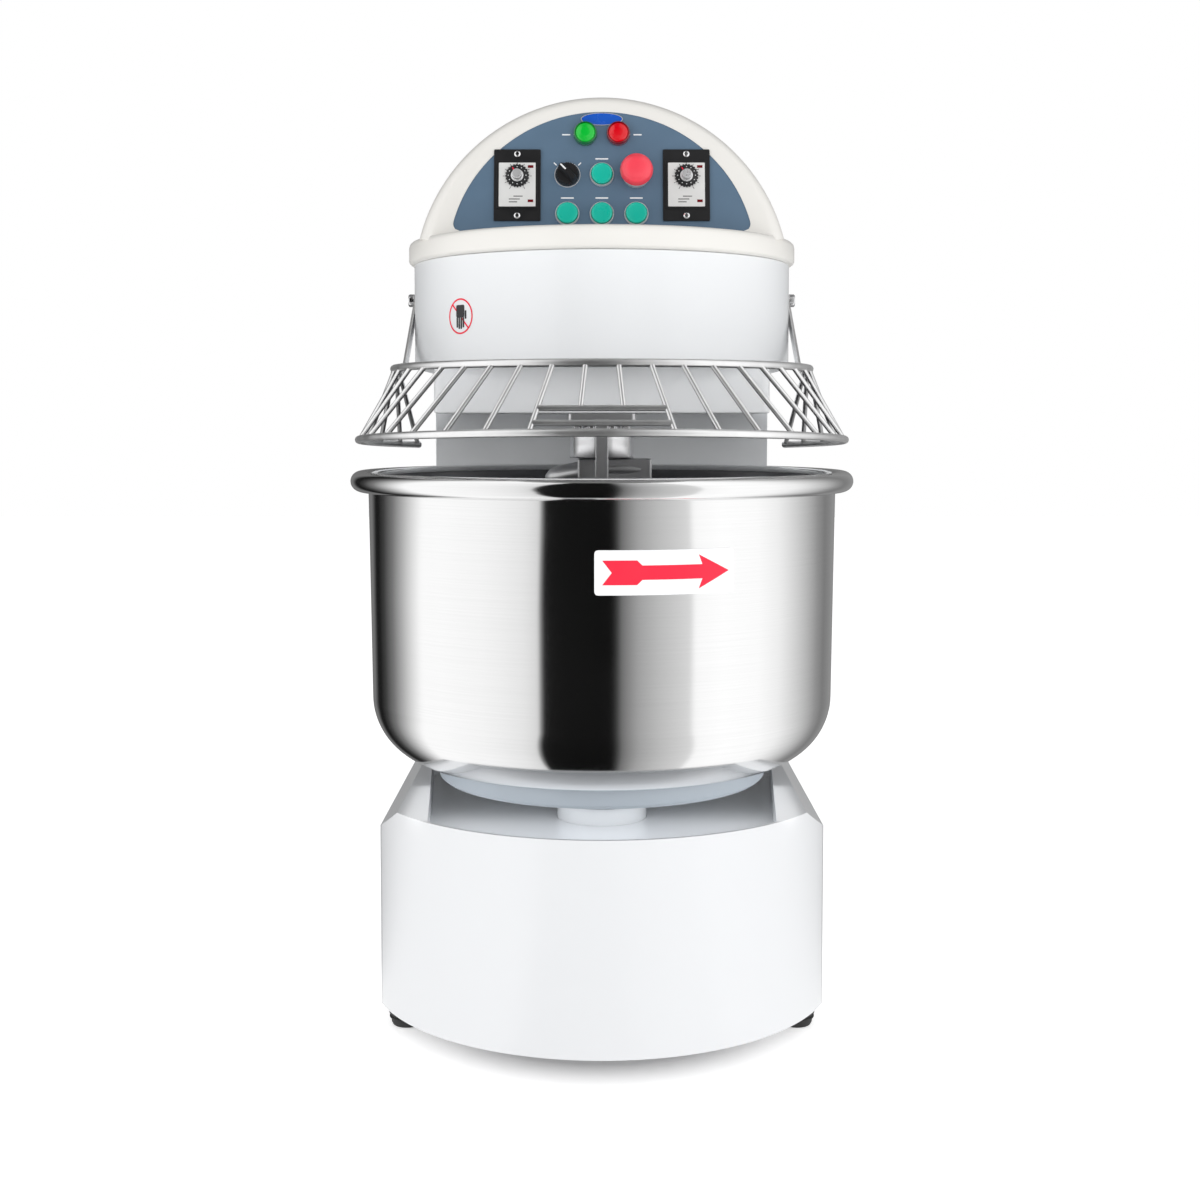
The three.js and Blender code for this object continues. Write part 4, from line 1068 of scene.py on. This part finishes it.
def drive_parts():
    """The hidden drive keeps its CAD solids, with finished materials."""
    cast = ("bowl_wheel", "bowl_gearbox", "gearbox_sprocket", "spiral_pulley", "jackshaft_lower_pulley",
            "jackshaft_upper_pulley", "motor", "motor_pulley")
    turned_steel = ("bowl_shaft", "jackshaft", "base_floor_plate")
    rubber = ("upper_belt", "lower_belt", "bowl_chain")
    for names, material in ((cast, CAST), (turned_steel, TOOL_STEEL), (rubber, RUBBER)):
        for name in names:
            data = frame["nodes"][name].data
            data.materials.clear()
            data.materials.append(material)


# ---- stage, lights and camera ----

# Focal length and sensor width in millimetres, and vertical shift
CAMERA_OPTICS = 49.12, 36, -0.0667
CAMERA_X, CAMERA_DISTANCE, CAMERA_Z, CAMERA_PITCH = -0.002, 1.7777, 0.645, 3.47
SKY_MATT, SKY_LOW, SKY_GLOSSY = 0.55, 1.4, 0.2
WALL_POWER = 1.25
WELL_FRONT = (0, -0.26, DECK_TOP * UNIT)

# Azimuth round the bowl in degrees, and brightness there
WALL_LEVELS = (
    (-179, 0.1), (-147, 0.16), (-138, 0.01), (-133, 0.008), (-125, 0.045), (-115, 0.17), (-106, 0.41),
    (-91, 0.94), (-77, 0.95), (-55, 0.9), (-45, 0.85), (-35, 0.78), (-27, 0.66), (-26.6, 0.005),
    (4, 0.003), (6.5, 0.03), (8.5, 0.15), (16, 0.35), (25, 0.49), (39, 0.66), (41.5, 0.94),
    (55, 0.99), (75, 0.96), (88, 0.85), (103, 0.59), (113, 0.42), (122, 0.27), (132, 0.18),
    (150, 0.24),
)


def unseen(thing, **shown):
    for ray in ("camera", "diffuse", "glossy", "transmission", "shadow"):
        setattr(thing, f"visible_{ray}", shown.get(ray, False))


def reflection_wall():
    """A round studio wall and floor, seen only in reflections and lit by angle round the bowl."""
    rings = [[(x, y, z) for x, y in arc(0, BOWL_Y, radius, -90, 270, 120)[:-1]]
             for radius, z in ((275, 0.4), (1600, 0.4), (1600, 5000))]
    wall = mesh_object("reflection_wall", loft(rings, capped=False))
    look = Surface("reflection_wall", (0, 0, 0), 1.0)
    turn = look.node("ShaderNodeSeparateXYZ", {0: look.place(around=BOWL_AXIS)}).outputs["X"]
    share = look.node("ShaderNodeMapRange", {"Value": turn, "From Min": -math.pi,
                                             "From Max": math.pi}).outputs[0]
    ramp = look.node("ShaderNodeValToRGB", {"Fac": share})
    stops = ramp.color_ramp.elements
    stops.remove(stops[0])
    levels = sorted(((azimuth + 90) % 360 / 360, level) for azimuth, level in WALL_LEVELS)
    for k, (position, level) in enumerate(levels):
        stop = stops.new(position) if k else stops[0]
        stop.position = position
        stop.color = (level, level, level, 1)
    glow = look.node("ShaderNodeEmission", {"Color": ramp.outputs["Color"], "Strength": WALL_POWER})
    look.tree.links.new(glow.outputs[0], look.tree.nodes["Material Output"].inputs["Surface"])
    wall.data.materials.append(look.material)
    unseen(wall, glossy=True)


def softbox(name, azimuth, elevation, distance, width, height, power, aim=(0, BOWL_Y * UNIT, 0.5)):
    """A soft light aimed from azimuth and elevation in degrees; it shows nothing of itself."""
    data = bpy.data.lights.new(name, "AREA")
    data.shape, data.size, data.size_y, data.energy = "RECTANGLE", width, height, power
    made = bpy.data.objects.new(name, data)
    bpy.context.scene.collection.objects.link(made)
    a, e = math.radians(azimuth), math.radians(elevation)
    aim = Vector(aim)
    way = Vector((math.sin(a) * math.cos(e), -math.cos(a) * math.cos(e), math.sin(e)))
    made.location = aim + distance * way
    made.rotation_euler = (aim - made.location).to_track_quat("-Z", "Y").to_euler()
    made.visible_glossy = made.visible_camera = False


def world():
    """White to the camera, brighter near the horizon to matt surfaces, and dim to reflections."""
    made = bpy.data.worlds.new("studio")
    bpy.context.scene.world = made
    made.use_nodes = True
    tree = made.node_tree
    tree.nodes.clear()
    path = add_node(tree, "ShaderNodeLightPath").outputs
    way = add_node(tree, "ShaderNodeTexCoord").outputs["Generated"]
    height = add_node(tree, "ShaderNodeSeparateXYZ", {0: way}).outputs["Z"]
    fall = add_node(tree, "ShaderNodeMapRange", {"Value": height, "From Max": 0.4, "To Min": SKY_LOW,
                                                 "To Max": SKY_MATT})

    def mixed(ray, others, level):
        """Plain white of this level for one kind of ray, and the other shade for all others."""
        plain = add_node(tree, "ShaderNodeBackground", {"Color": (1, 1, 1, 1), "Strength": level})
        mix = add_node(tree, "ShaderNodeMixShader", {0: path[ray], 1: others, 2: plain.outputs[0]})
        return mix.outputs[0]

    matt = add_node(tree, "ShaderNodeBackground", {"Strength": fall.outputs[0]})
    rest = mixed("Is Glossy Ray", matt.outputs[0], SKY_GLOSSY)
    add_node(tree, "ShaderNodeOutputWorld", {"Surface": mixed("Is Camera Ray", rest, 1.0)})


def stage():
    floor = mesh_object("floor", loft([[(x, y, z) for x, y in rectangle(-9000, 9000, -9000, 9000)]
                                       for z in (-20, -0.2)]))
    made = Surface("pale_floor", (0.9, 0.9, 0.9), 0.6)
    made.vary_color(made.noise(3, 3), 0.01)
    floor.data.materials.append(made.material)
    made.shader.inputs["Emission Color"].default_value = (1, 1, 1, 1)
    # Floor emission grows with distance from the bowl's axis, so the floor stays dark close round the base: a
    # painted contact shadow; further out it glows evenly white
    radius = made.node("ShaderNodeSeparateXYZ", {0: made.place(around=BOWL_AXIS)}).outputs["Y"]
    glow = made.node("ShaderNodeMapRange", {"Value": radius, "From Min": 0.17, "From Max": 0.25,
                                            "To Min": 0.0, "To Max": 0.75})
    made.tree.links.new(glow.outputs[0], made.shader.inputs["Emission Strength"])
    reflection_wall()
    softbox("key_left", -58, 12, 2.6, 1.6, 1.8, 6.3)
    softbox("key_right", 60, 12, 2.6, 1.6, 1.8, 6.8)
    softbox("fill_front", 6, 12, 2.6, 1.4, 1.2, 15)
    softbox("well_fill", 0, 89, 0.043, 0.40, 0.16, 0.17, aim=WELL_FRONT)
    world()
    bpy.context.scene.view_settings.view_transform = "Standard"


def camera():
    data = bpy.data.cameras.new("camera")
    data.lens, data.sensor_width, data.shift_y, data.clip_end = *CAMERA_OPTICS, 50
    made = bpy.data.objects.new("camera", data)
    bpy.context.scene.collection.objects.link(made)
    made.location = (CAMERA_X, BOWL_Y * UNIT - CAMERA_DISTANCE, CAMERA_Z)
    made.rotation_euler = (math.radians(90 - CAMERA_PITCH), 0, 0)
    bpy.context.scene.camera = made


camera()
stage()
base()
for corner in ("front_left", "front_right", "rear_left", "rear_right"):
    foot(f"foot_{corner}", f"rubber_foot_{corner}")
column()
rear_cover()
head()
spiral_housing()
top_cover()
panel_plate()
push_buttons()
lamps()
emergency_stop()
selector()
timers()
panel_marks()
bowl()
carrier()
bowl_label()
head_roundel()
spiral()
breaker()
guard()
gland()
drive_parts()
